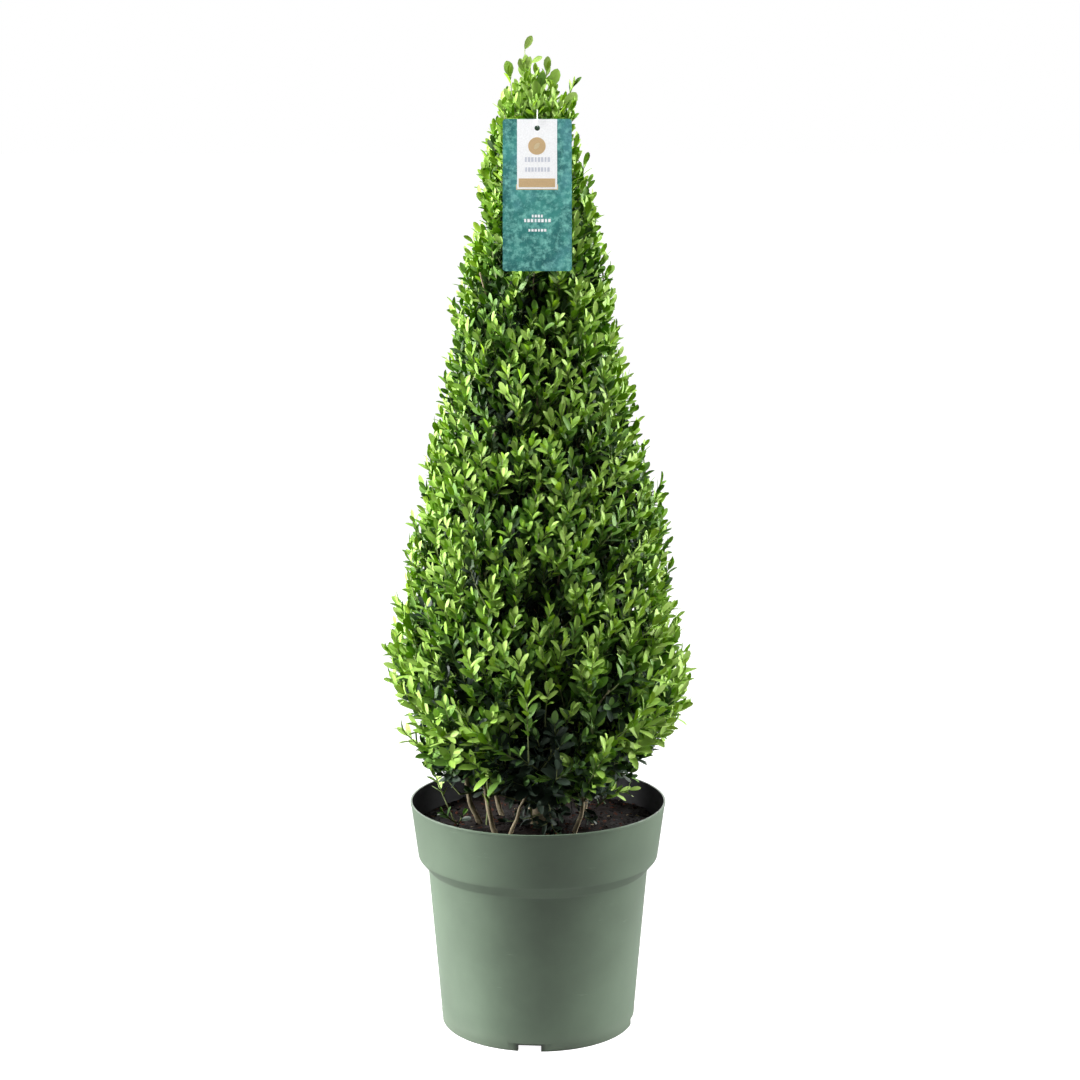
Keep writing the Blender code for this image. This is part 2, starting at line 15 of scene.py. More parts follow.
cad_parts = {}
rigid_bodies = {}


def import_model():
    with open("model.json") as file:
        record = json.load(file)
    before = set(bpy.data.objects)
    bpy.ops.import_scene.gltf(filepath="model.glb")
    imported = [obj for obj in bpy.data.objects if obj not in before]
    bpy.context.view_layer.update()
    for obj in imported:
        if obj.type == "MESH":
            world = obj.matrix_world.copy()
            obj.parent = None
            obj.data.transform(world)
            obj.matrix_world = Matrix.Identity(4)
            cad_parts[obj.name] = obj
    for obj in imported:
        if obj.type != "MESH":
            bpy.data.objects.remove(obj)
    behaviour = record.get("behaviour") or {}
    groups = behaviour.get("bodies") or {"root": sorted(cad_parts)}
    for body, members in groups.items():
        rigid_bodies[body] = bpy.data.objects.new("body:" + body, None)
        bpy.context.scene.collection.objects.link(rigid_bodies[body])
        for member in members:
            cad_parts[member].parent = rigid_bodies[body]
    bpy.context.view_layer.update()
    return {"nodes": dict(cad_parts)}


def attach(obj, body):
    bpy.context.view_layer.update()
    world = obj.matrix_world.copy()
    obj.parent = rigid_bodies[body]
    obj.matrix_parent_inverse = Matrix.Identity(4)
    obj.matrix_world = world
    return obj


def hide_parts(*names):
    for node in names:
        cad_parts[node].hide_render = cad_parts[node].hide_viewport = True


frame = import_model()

bl_info = {
    "name": "Potted Holly Cone",
    "version": (1, 0, 0),
    "blender": (4, 5, 0),
    "location": "View3D > Sidebar > Holly Cone",
    "description": "Builds a clipped small-leaved holly cone in a nursery pot",
    "category": "Add Mesh",
}

UP = Vector((0.0, 0.0, 1.0))
GOLDEN_TURN = math.radians(137.5)
FOLIAGE_NODES = [name for name in frame["nodes"] if name.startswith("foliage_")]
CONE_NODES = [name for name in FOLIAGE_NODES if not name.startswith("foliage_low_")]

# Pot: radii outside, heights, and the wall's thickness
RIM_RADIUS = 0.1400
COLLAR_FOOT_RADIUS = 0.1315
COLLAR_FOOT_Z = 0.1894
BODY_TOP_RADIUS = 0.1208
BODY_TOP_Z = 0.1768
FOOT_RADIUS = 0.1061
FOOT_RING_WIDTH = 0.0075
BASE_UNDERSIDE_Z = 0.0095
BASE_TOP_Z = 0.0121
NOTCH_FIRST_AZIMUTH = math.radians(-95.0)
NOTCHES = 4
POCKET = (0.0020, 0.056, 0.0090)      # depth, width and height
CHANNEL = (0.030, 0.025, 0.0066)
CUTTER_OVERRUN = 0.010
FOOT_BEVEL = 0.0012
STEP_Z, STEP_TOP_Z = 0.0120, 0.0126   # fine step round the foot
STEP_DEPTH = 0.0002
LIP_HEIGHT = 0.0022
SOIL_TOP_Z = 0.2230

# Main stem: its line, and its radius at the foot, at the tip and in the flare
STEM_TIP_Z = 0.9800
STEM_FOOT = Vector((0.0030, 0.0010))
STEM_TIP = Vector((-0.0060, 0.0000))
STEM_SWAY = 0.0030
STEM_RADII = (0.0085, 0.0022)
STEM_FLARE = 0.0050
STEM_FLARE_REACH = 0.022

# Basal stems: azimuth and distance of the foot, the same where the stem
# enters the foliage, and radius at the foot
BASAL_STEMS = {
    "front_left": (218.0, 0.057, 210.0, 0.066, 0.0034),
    "left": (176.0, 0.063, 176.0, 0.080, 0.0036),
    "front": (239.0, 0.062, 262.0, 0.050, 0.0022),
    "right": (41.0, 0.067, 34.0, 0.058, 0.0040),
    "back": (98.0, 0.060, 92.0, 0.070, 0.0036),
    "back_left": (140.0, 0.050, 146.0, 0.064, 0.0032),
    "front_right": (318.0, 0.052, 322.0, 0.064, 0.0030),
}
BASAL_BOW = 0.0040
BASAL_TOP_Z = 0.285
BURIED = 0.004                        # how far stems reach into the soil

# Label: card, panel, band and disc, in the card's own frame
LABEL_WIDTH = 0.0710
LABEL_HEIGHT = 0.1570
LABEL_THICKNESS = 0.0008
LABEL_CORNER = 0.0030
LABEL_HOLE_RADIUS = 0.0028
LABEL_HOLE_DROP = 0.0094
LABEL_TILT = math.radians(11.5)
LABEL_CENTRE = Vector((-0.0006, -0.0650, 0.9109))
PANEL_WIDTH = 0.0412
PANEL_LOW = 0.0062
PANEL_DROP = 0.0002                   # of its top under the card's, and to the left
BORDER_WIDTH = 0.0009                 # pale gold line round the panel's foot
BORDER_DROP = 0.0675
BAND_WIDTH = 0.0375
BAND_LOW, BAND_HIGH = 0.0018, 0.0108  # above the panel's foot
BAND_ASIDE = 0.0004
DISC_RADIUS = 0.0090
DISC_DROP = 0.0186                    # under the hole
MARK_LENGTH = 0.0085
MARK_WIDTH = 0.0046
DASH_PITCH = 0.0034

# Rows of printed dashes: height, width of the row and height of a dash
GREY_ROWS = ((0.0365, 0.0270, 0.0048), (0.0262, 0.0262, 0.0044))
WHITE_ROWS = ((-0.0218, 0.0125, 0.0028), (-0.0265, 0.0285, 0.0034), (-0.0365, 0.0195, 0.0026))

# Tie: radius of the thread, half the loop's width, gap in the hole, and its end
TIE_RADIUS = 0.0005
TIE_HALF = 0.0017
TIE_GAP = 0.0004
TIE_END = Vector((LABEL_CENTRE.x, -0.0363, 0.9960))

# Stage: the floor's half width, the camera, and each light's name, place, size
# and the point that it faces
FLOOR_REACH = 60.0
CAMERA_PLACE = (0.0022, -2.6237, 0.9927)
CAMERA_DIP = 0.1709
CAMERA_LENS = 82.24
LIGHTS = {
    "left": ("left_softbox", (-2.0, 0.00, 1.15), (1.1, 1.9), (0.0, 0.0, 0.5)),
    "right": ("right_softbox", (2.0, 0.24, 1.15), (1.1, 1.9), (0.0, 0.0, 0.6)),
    "back": ("back_softbox", (0.0, 2.2, 1.3), (2.6, 1.8), (0.0, 0.0, 0.3)),
    "overhead": ("top_softbox", (-0.1, -0.50, 2.5), (1.0, 1.0), (0.0, 0.0, 0.7)),
}


# ------------------------------------------------------------------ settings

def amount(name, description, default, **more):
    return FloatProperty(name=name, description=description, default=default, min=0.0, **more)


def length(name, description, default):
    return amount(name, description, default, precision=4, unit="LENGTH")


def power(name, description, default):
    return amount(name, description, default, unit="POWER")


def colour(name, description, default):
    return FloatVectorProperty(name=name, description=description, default=default,
                               subtype="COLOR", size=3, min=0.0, max=1.0)


class HollyPotSettings(PropertyGroup):
    """Sizes and colours of the pot and its soil."""

    height: length("Height", "Ground to the top of the rim", 0.2511)
    wall: length("Wall", "Thickness of the pot's wall", 0.0022)
    segments: IntProperty(name="Segments", description="Faces round the pot", default=192, min=24)
    outside: colour("Outside", "Colour of the outer plastic", (0.096, 0.136, 0.092))
    inside: colour("Inside", "Colour of the inner plastic", (0.004, 0.004, 0.005))
    soil: colour("Soil", "Colour of the moist peat", (0.008, 0.005, 0.004))
    crumb_seed: IntProperty(name="Crumb Seed", description="Seed of the crumbs' places", default=4)


class HollyPlantSettings(PropertyGroup):
    """Sizes and colours of the stems, twigs and leaves."""

    seed: IntProperty(name="Seed", description="Seed of the branching rule", default=23)
    boughs: IntProperty(name="Boughs", description="Limbs that leave the main stem", default=120, min=8)
    spacing: length("Shoot Spacing", "Distance between clipped shoots", 0.0145)
    leaf: length("Leaf Length", "Length of a full-grown leaf", 0.0162)
    bark: colour("Bark", "Colour of the old bark", (0.200, 0.165, 0.100))
    twig: colour("Twig", "Colour of the young shoots", (0.120, 0.150, 0.050))
    # Leaf greens are a little brighter than the leaves' own colour: painted light for the light that shines
    # through them.
    young: colour("Young Leaf", "Colour of the newest leaves", (0.270, 0.440, 0.040))
    fresh: colour("Fresh Leaf", "Colour of this year's leaves", (0.220, 0.410, 0.014))
    mature: colour("Mature Leaf", "Colour of hardened leaves", (0.096, 0.226, 0.010))
    deep: colour("Deep Leaf", "Colour of older leaves", (0.036, 0.092, 0.014))
    shade: colour("Shade Leaf", "Colour of the leaves inside", (0.022, 0.044, 0.024))


class HollyLabelSettings(PropertyGroup):
    """Colours of the hang label."""

    ground: colour("Ground", "Main colour of the card", (0.053, 0.272, 0.243))
    wash: colour("Wash", "Paler colour of its wash", (0.240, 0.620, 0.540))
    gold: colour("Gold", "Colour of the printed gold", (0.800, 0.570, 0.310))


class HollyStageSettings(PropertyGroup):
    """Light and floor."""

    left: power("Left Light", "Power of the softbox on the left", 180.0)
    right: power("Right Light", "Power of the softbox on the right", 110.0)
    back: power("Back Light", "Power of the wash behind", 40.0)
    overhead: power("Top Light", "Power of the light overhead", 38.0)
    ambient: amount("Ambient", "Strength of the light from all round", 0.074)
    backdrop: amount("Backdrop", "How white the far side shows in reflections", 0.9)
    floor_glow: amount("Floor Glow", "How far the floor is lifted to white", 1.0)


# ------------------------------------------------------------------- helpers

def polar(azimuth, radius, height):
    return Vector((radius * math.cos(azimuth), radius * math.sin(azimuth), height))


def blend(low, high, share):
    return low + (high - low) * share


def clamp(value):
    return min(max(value, 0.0), 1.0)


def ramp(value, start, span):
    """From 0 at the start to 1 a span beyond it, which may be downwards."""
    return clamp((value - start) / span)


def rgba(three):
    return (three[0], three[1], three[2], 1.0)


def square_to(vector, axis):
    """The part of a vector square to a unit axis, made a unit long."""
    return (vector - axis * vector.dot(axis)).normalized()


def smooth_below(mesh, angle):
    """Smooth shading, with edges sharper than this left crisp."""
    mesh.shade_smooth()
    mesh.set_sharp_from_angle(angle=math.radians(angle))


def new_object(name, mesh, finishes=(), smooth=None):
    """An object for a finished mesh, with its place in its vertices."""
    for finish in finishes:
        mesh.materials.append(finish)
    if smooth is not None:
        smooth_below(mesh, smooth)
    made = bpy.data.objects.new(name, mesh)
    bpy.context.scene.collection.objects.link(made)
    return made


def bake_modifiers(made):
    """Swap an object's mesh for the one its modifiers give, and drop them."""
    graph = bpy.context.evaluated_depsgraph_get()
    mesh = bpy.data.meshes.new_from_object(
        made.evaluated_get(graph), preserve_all_data_layers=True, depsgraph=graph)
    made.modifiers.clear()
    old = made.data
    made.data = mesh
    mesh.name = made.name
    bpy.data.meshes.remove(old)


def settle(made, slot, *stands_for):
    """Attach a piece to the root body and hide the nodes it stands for; its slot is not used."""
    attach(made, "root")
    if stands_for:
        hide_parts(*stands_for)


def discard(made):
    mesh = made.data
    bpy.data.objects.remove(made, do_unlink=True)
    bpy.data.meshes.remove(mesh)


def finish_bmesh(name, bm):
    """A mesh with its faces turned outwards, from a bmesh that is done."""
    bmesh.ops.recalc_face_normals(bm, faces=bm.faces[:])
    mesh = bpy.data.meshes.new(name)
    bm.to_mesh(mesh)
    bm.free()
    return mesh


def plain_mesh(name, verts, faces):
    made = bpy.data.meshes.new(name)
    made.from_pydata(verts, [], faces)
    made.update()
    return made


def cut(target, name, matrices, build):
    """Take shapes that build() adds at each matrix away from an object."""
    bm = bmesh.new()
    for matrix in matrices:
        build(bm, matrix)
    cutter = new_object(name, finish_bmesh(name, bm))
    step = target.modifiers.new(name, "BOOLEAN")
    step.operation = "DIFFERENCE"
    step.solver = "EXACT"
    step.object = cutter
    bake_modifiers(target)
    discard(cutter)


def rounded(profile, radii, steps=4):
    """A line of (radius, height) points with each inner corner rounded."""
    made = [profile[0]]
    for before, corner, after, radius in zip(profile, profile[1:], profile[2:], radii):
        corner = Vector(corner)
        back = Vector(before) - corner
        ahead = Vector(after) - corner
        trim = min(radius, 0.45 * back.length, 0.45 * ahead.length)
        if trim <= 0.0:
            made.append(tuple(corner))
            continue
        start = corner + back.normalized() * trim
        end = corner + ahead.normalized() * trim
        for step in range(steps + 1):
            share = step / steps
            made.append(tuple(blend(blend(start, corner, share), blend(corner, end, share), share)))
    made.append(profile[-1])
    return made


def lathe(profile, segments, kinds):
    """Turn a profile round Z; kinds gives each strip's material."""
    bm = bmesh.new()
    rings = []
    for radius, height in profile:
        if radius < 1e-6:
            rings.append([bm.verts.new((0.0, 0.0, height))])
        else:
            rings.append([bm.verts.new(polar(math.tau * step / segments, radius, height))
                          for step in range(segments)])
    for index, (lower, upper) in enumerate(zip(rings, rings[1:])):
        for step in range(segments):
            after = (step + 1) % segments
            corners = [lower[step % len(lower)], lower[after % len(lower)],
                       upper[after % len(upper)], upper[step % len(upper)]]
            face = bm.faces.new(list(dict.fromkeys(corners)))
            face.material_index = kinds[index]
    return bm


class Joined:
    """Vertices and faces of many like shapes, gathered for one mesh."""

    def __init__(self):
        self.verts = []
        self.faces = []

    def add(self, verts, faces):
        start = len(self.verts)
        self.verts.extend(verts)
        self.faces.extend(tuple(start + corner for corner in face) for face in faces)


FLARE_REACH = 0.016


def tube(points, radii, sides, relief=0.0, grain=1.0, flare=0.0):
    """Rings round a line, closed at both ends, with bark relief on them.

    grain is the relief's fineness along the line, and flare a lobed swelling
    at its foot.
    """
    verts = []
    faces = []
    side = None
    last = len(points) - 1
    walked = 0.0
    for index, (point, radius) in enumerate(zip(points, radii)):
        along = (points[min(index + 1, last)] - points[max(index - 1, 0)]).normalized()
        if side is None:
            side = along.orthogonal().normalized()
        side = square_to(side, along)
        other = along.cross(side)
        if index:
            walked += (point - points[index - 1]).length
        for step in range(sides):
            turn = math.tau * step / sides
            out = side * math.cos(turn) + other * math.sin(turn)
            swell = 0.0
            if relief:
                spot = Vector((math.cos(turn) * 1.7, math.sin(turn) * 1.7, walked * grain))
                spot += points[0] * 90.0
                swell = relief * (noise.noise(spot) + 0.5 * noise.noise(spot * 2.7))
                swell += flare * math.exp(-walked / FLARE_REACH) * math.cos(turn * 4.0 + 1.0)
            verts.append(point + out * radius * (1.0 + swell))
    for ring in range(last):
        for step in range(sides):
            after = (step + 1) % sides
            faces.append((ring * sides + step, ring * sides + after,
                          (ring + 1) * sides + after, (ring + 1) * sides + step))
    faces.append(tuple(range(sides))[::-1])
    verts.append(points[last] + (points[last] - points[last - 1]).normalized() * radii[last] * 0.6)
    for step in range(sides):
        faces.append((last * sides + step, last * sides + (step + 1) % sides, len(verts) - 1))
    return verts, faces


# ----------------------------------------------------------------- materials

VEIN_ROWS = 46.0                      # side veins from base to tip, as a sine's turn
VEIN_SLANT = 34.0
LEAST_ROUGHNESS = 0.42


def add_node(tree, kind, inputs=None, **settings):
    """A node with its settings, and its inputs linked or given by value."""
    made = tree.nodes.new(kind)
    for key, value in settings.items():
        setattr(made, key, value)
    for key, value in (inputs or {}).items():
        if isinstance(value, bpy.types.NodeSocket):
            tree.links.new(value, made.inputs[key])
        else:
            made.inputs[key].default_value = value
    return made


def add_group(tree, group, inputs):
    made = tree.nodes.new("ShaderNodeGroup")
    made.node_tree = group
    for key, value in inputs.items():
        made.inputs[key].default_value = value
    return made


def start_material(name, base, roughness, specular=0.5):
    made = bpy.data.materials.new(name)
    made.use_nodes = True
    tree = made.node_tree
    shader = tree.nodes["Principled BSDF"]
    shader.inputs["Base Color"].default_value = rgba(base)
    shader.inputs["Roughness"].default_value = roughness
    shader.inputs["Specular IOR Level"].default_value = specular
    return made, tree, shader


def shift(base, gain, lift=0.0):
    """A colour brightened or darkened, as four numbers."""
    return rgba([min(1.0, part * gain + lift) for part in base])


def mix_colours(tree, share, first, second):
    return add_node(tree, "ShaderNodeMix", {0: share, 6: first, 7: second}, data_type="RGBA").outputs[2]


def spread(tree, value, low, high, out_low=0.0, out_high=1.0):
    """Map a value's range onto another, held at its ends."""
    made = add_node(tree, "ShaderNodeMapRange", {"Value": value, "From Min": low, "From Max": high,
                                                 "To Min": out_low, "To Max": out_high})
    return made.outputs["Result"]


def maths(tree, operation, *values):
    return add_node(tree, "ShaderNodeMath", dict(enumerate(values)), operation=operation).outputs[0]


def plus(tree, first, second):
    return maths(tree, "ADD", first, second)


def minus(tree, first, second):
    return maths(tree, "SUBTRACT", first, second)


def times(tree, first, second):
    return maths(tree, "MULTIPLY", first, second)


def add_bump(tree, shader, height, strength, distance):
    bump = add_node(tree, "ShaderNodeBump", {"Height": height, "Strength": strength, "Distance": distance})
    tree.links.new(bump.outputs[0], shader.inputs["Normal"])


def new_group(name, inputs, outputs):
    """A shader node group with named sockets: (name, kind, default)."""
    group = bpy.data.node_groups.new(name, "ShaderNodeTree")
    for label, kind, default in inputs:
        socket = group.interface.new_socket(name=label, in_out="INPUT", socket_type=kind)
        socket.default_value = default
    for label, kind in outputs:
        group.interface.new_socket(name=label, in_out="OUTPUT", socket_type=kind)
    return group, group.nodes.new("NodeGroupInput"), group.nodes.new("NodeGroupOutput")


def object_place(tree):
    return add_node(tree, "ShaderNodeTexCoord").outputs["Object"]


def reach_of(tree, place):
    """How far a place is from the origin."""
    return add_node(tree, "ShaderNodeVectorMath", {"Vector": place}, operation="LENGTH").outputs["Value"]


def object_noise(tree, scale, detail=3.0, roughness=0.55, stretch=(1.0, 1.0, 1.0)):
    placed = add_node(tree, "ShaderNodeMapping", {"Vector": object_place(tree), "Scale": stretch})
    made = add_node(tree, "ShaderNodeTexNoise", {"Vector": placed.outputs[0], "Scale": scale,
                                                 "Detail": detail, "Roughness": roughness})
    return made.outputs["Fac"]


def leaf_marks_group():
    """Midrib, side veins, tip tone and leaf-to-leaf change, for every leaf."""
    group, given, result = new_group(
        "leaf_marks",
        [("Base", "NodeSocketColor", (0.1, 0.2, 0.03, 1.0)),
         ("Vein", "NodeSocketColor", (0.3, 0.4, 0.1, 1.0)),
         ("Vein Share", "NodeSocketFloat", 0.35), ("Change", "NodeSocketFloat", 0.30),
         ("Roughness", "NodeSocketFloat", 0.40)],
        [("Color", "NodeSocketColor"), ("Roughness", "NodeSocketFloat"), ("Height", "NodeSocketFloat")])
    place = add_node(group, "ShaderNodeUVMap", uv_map="leaf_map")
    along, across, _ = add_node(group, "ShaderNodeSeparateXYZ", {"Vector": place.outputs[0]}).outputs
    off_middle = maths(group, "ABSOLUTE", minus(group, across, 0.5))
    midrib = spread(group, off_middle, 0.02, 0.09, 1.0, 0.0)
    slope = minus(group, times(group, along, VEIN_ROWS), times(group, off_middle, VEIN_SLANT))
    side_veins = times(group, maths(group, "SINE", slope), 0.5)
    dealt = add_node(group, "ShaderNodeAttribute", attribute_name="shade").outputs["Fac"]
    patches = object_noise(group, 70.0, 2.0)
    blotches = minus(group, patches, 0.5)
    bright = times(group, minus(group, dealt, 0.5), given.outputs["Change"])
    bright = plus(group, bright, times(group, blotches, 0.35))
    bright = plus(group, bright, times(group, minus(group, along, 0.5), 0.16))
    toned = add_node(group, "ShaderNodeHueSaturation",
                     {"Color": given.outputs["Base"], "Value": plus(group, bright, 1.0),
                      "Hue": spread(group, dealt, 0.0, 1.0, 0.508, 0.492)})
    veined = mix_colours(group, times(group, midrib, given.outputs["Vein Share"]),
                         toned.outputs[0], given.outputs["Vein"])
    rough = plus(group, given.outputs["Roughness"], times(group, blotches, 0.25))
    group.links.new(veined, result.inputs["Color"])
    group.links.new(maths(group, "MAXIMUM", rough, LEAST_ROUGHNESS), result.inputs["Roughness"])
    group.links.new(minus(group, times(group, side_veins, 0.35), midrib), result.inputs["Height"])
    return group


def leaf_material(name, group, base, roughness):
    """Waxy leaf with veins, and a paler, greyer underside."""
    made, tree, shader = start_material(name, base, roughness, 0.20)
    marks = add_group(tree, group, {"Base": rgba(base), "Vein": shift(base, 1.5, 0.03),
                                    "Vein Share": 0.35, "Roughness": roughness})
    grey = sum(base) / 3.0
    under = shift([blend(part, grey, 0.22) for part in base], 1.25, 0.004)
    facing = tree.nodes.new("ShaderNodeNewGeometry")
    both = mix_colours(tree, facing.outputs["Backfacing"], marks.outputs["Color"], under)
    tree.links.new(both, shader.inputs["Base Color"])
    tree.links.new(marks.outputs["Roughness"], shader.inputs["Roughness"])
    add_bump(tree, shader, marks.outputs["Height"], 0.25, 0.0004)
    return made


def grain_group():
    """Streaks and lenticels of bark along a limb that stands upright."""
    group, given, result = new_group(
        "bark_grain",
        [("Base", "NodeSocketColor", (0.1, 0.1, 0.1, 1.0)),
         ("Pale", "NodeSocketColor", (0.3, 0.3, 0.3, 1.0)),
         ("Scale", "NodeSocketFloat", 220.0)],
        [("Color", "NodeSocketColor"), ("Height", "NodeSocketFloat")])
    streaks = object_noise(group, given.outputs["Scale"], 5.0, 0.65, (1.0, 1.0, 0.22))
    flecks = object_noise(group, 420.0, 1.0, 0.5, (0.6, 0.6, 1.6))
    patches = object_noise(group, 38.0, 2.0)
    pale = times(group, spread(group, streaks, 0.42, 0.66), spread(group, patches, 0.35, 0.62, 0.35, 1.0))
    toned = mix_colours(group, pale, given.outputs["Base"], given.outputs["Pale"])
    flecked = mix_colours(group, spread(group, flecks, 0.62, 0.70, 0.0, 0.6), toned, given.outputs["Pale"])
    group.links.new(flecked, result.inputs["Color"])
    group.links.new(plus(group, streaks, times(group, flecks, 0.4)), result.inputs["Height"])
    return group


def bark_material(name, group, base, gain, roughness, scale):
    made, tree, shader = start_material(name, base, roughness)
    grain = add_group(tree, group, {"Base": rgba(base), "Pale": shift(base, gain), "Scale": scale})
    tree.links.new(grain.outputs["Color"], shader.inputs["Base Color"])
    add_bump(tree, shader, grain.outputs["Height"], 0.6, 0.0010)
    return made


def pot_outside_material(base):
    """Satin moulded plastic: faint turning lines, scuffs, dust, and painted shade in the foot's pockets and
    on the bevel under the collar.
    """
    made, tree, shader = start_material("pot_green_plastic", base, 0.46, 0.40)
    mottle = object_noise(tree, 9.0, 4.0, 0.6)
    fine = object_noise(tree, 900.0, 2.0, 0.5)
    scuffs = spread(tree, object_noise(tree, 26.0, 6.0, 0.72, (1.0, 1.0, 7.0)), 0.650, 0.72, 0.0, 0.40)
    x, y, height = add_node(tree, "ShaderNodeSeparateXYZ", {"Vector": object_place(tree)}).outputs
    toned = mix_colours(tree, spread(tree, mottle, 0.32, 0.68), shift(base, 0.84), shift(base, 1.10))
    toned = mix_colours(tree, scuffs, toned, shift(base, 1.55, 0.03))
    toned = mix_colours(tree, spread(tree, height, 0.002, 0.022, 0.10, 0.0), toned, (0.20, 0.20, 0.17, 1.0))

    # Painted shade in the pockets of the foot, darkening their recesses
    flat = add_node(tree, "ShaderNodeCombineXYZ", {"X": x, "Y": y})
    behind = spread(tree, reach_of(tree, flat.outputs[0]),
                    FOOT_RADIUS - 0.0012, FOOT_RADIUS - 0.0004, 0.75, 0.0)
    pocket_shade = times(tree, behind, spread(tree, height, 0.0105, 0.0125, 1.0, 0.0))
    toned = mix_colours(tree, pocket_shade, toned, (0.010, 0.012, 0.009, 1.0))

    # The bevel under the collar is a little rougher, and darker with painted shade
    off_step = maths(tree, "ABSOLUTE", minus(tree, height, (BODY_TOP_Z + COLLAR_FOOT_Z) / 2.0))
    step = spread(tree, off_step, 0.0052, 0.0066, 1.0, 0.0)
    toned = mix_colours(tree, times(tree, step, 0.16), toned, (0.030, 0.048, 0.028, 1.0))
    tree.links.new(toned, shader.inputs["Base Color"])
    rough = plus(tree, spread(tree, mottle, 0.3, 0.7, 0.43, 0.51), times(tree, scuffs, 0.25))
    tree.links.new(plus(tree, rough, times(tree, step, 0.15)), shader.inputs["Roughness"])

    upright = add_node(tree, "ShaderNodeCombineXYZ", {"Z": height})
    rings = add_node(tree, "ShaderNodeTexNoise",
                     {"Vector": upright.outputs[0], "Scale": 260.0, "Detail": 2.0})
    add_bump(tree, shader, plus(tree, rings.outputs["Fac"], times(tree, fine, 0.25)), 0.14, 0.0004)
    return made


def pot_inside_material(base):
    made, tree, shader = start_material("pot_black_plastic", base, 0.48, 0.12)
    marks = object_noise(tree, 40.0, 5.0, 0.7, (1.0, 1.0, 3.0))
    stained = mix_colours(tree, spread(tree, marks, 0.55, 0.70, 0.0, 0.4),
                          rgba(base), (0.016, 0.013, 0.011, 1.0))
    tree.links.new(stained, shader.inputs["Base Color"])
    tree.links.new(spread(tree, marks, 0.3, 0.7, 0.42, 0.62), shader.inputs["Roughness"])
    return made


def soil_material(name, base, pale, scale):
    """Crumbly and mottled, damp and darker in patches."""
    made, tree, shader = start_material(name, base, 0.9, 0.12)
    grains = object_noise(tree, scale, 6.0, 0.7)
    patches = object_noise(tree, scale * 0.15, 2.0)
    toned = mix_colours(tree, spread(tree, grains, 0.40, 0.72), rgba(base), rgba(pale))
    damp = mix_colours(tree, spread(tree, patches, 0.35, 0.65, 0.0, 0.5), toned, shift(base, 0.4))
    tree.links.new(damp, shader.inputs["Base Color"])
    tree.links.new(spread(tree, patches, 0.3, 0.7, 0.95, 0.70), shader.inputs["Roughness"])
    add_bump(tree, shader, grains, 0.8, 0.0015)
    return made


def card_material(ground, wash):
    """Printed card: a watery wash of teal tones."""
    made, tree, shader = start_material("card_teal_print", ground, 0.38)
    broad = object_noise(tree, 40.0, 7.0, 0.70)
    fine = object_noise(tree, 170.0, 6.0, 0.72)
    blue = object_noise(tree, 48.0, 3.0, 0.5, (1.0, 1.0, 0.6))
    deep = rgba((ground[0] * 0.40, ground[1] * 0.46, ground[2] * 0.52))
    toned = mix_colours(tree, spread(tree, broad, 0.36, 0.62), deep, rgba(ground))
    washed = mix_colours(tree, spread(tree, fine, 0.46, 0.66, 0.0, 0.85), toned, rgba(wash))
    tinted = mix_colours(tree, spread(tree, blue, 0.50, 0.68, 0.0, 0.40),
                         washed, (0.115, 0.335, 0.400, 1.0))
    tree.links.new(tinted, shader.inputs["Base Color"])
    tree.links.new(spread(tree, fine, 0.3, 0.7, 0.33, 0.44), shader.inputs["Roughness"])
    return made


def print_material(name, base, metallic, roughness, scale):
    """Ink on card, with the card's fibres faint in it."""
    made, tree, shader = start_material(name, base, roughness)
    shader.inputs["Metallic"].default_value = metallic
    fibres = object_noise(tree, scale, 4.0, 0.6)
    toned = mix_colours(tree, spread(tree, fibres, 0.35, 0.65), shift(base, 0.90), rgba(base))
    tree.links.new(toned, shader.inputs["Base Color"])
    tree.links.new(spread(tree, fibres, 0.3, 0.7, roughness * 0.85, roughness * 1.15),
                   shader.inputs["Roughness"])
    return made


# ------------------------------------------------------------------- the pot

def outside_radius(height, top):
    """The wall's outer radius: body, bevel and collar."""
    if height >= COLLAR_FOOT_Z:
        low_z, high_z, low, high = COLLAR_FOOT_Z, top, COLLAR_FOOT_RADIUS, RIM_RADIUS
    elif height >= BODY_TOP_Z:
        low_z, high_z, low, high = BODY_TOP_Z, COLLAR_FOOT_Z, BODY_TOP_RADIUS, COLLAR_FOOT_RADIUS
    else:
        low_z, high_z, low, high = 0.0, BODY_TOP_Z, FOOT_RADIUS, BODY_TOP_RADIUS
    return blend(low, high, (height - low_z) / (high_z - low_z))


def add_box(size):
    """What adds a box of this size to a bmesh, at a matrix."""
    def build(bm, matrix):
        bmesh.ops.create_cube(bm, size=1.0, matrix=matrix @ Matrix.Diagonal((*size, 1.0)))
    return build


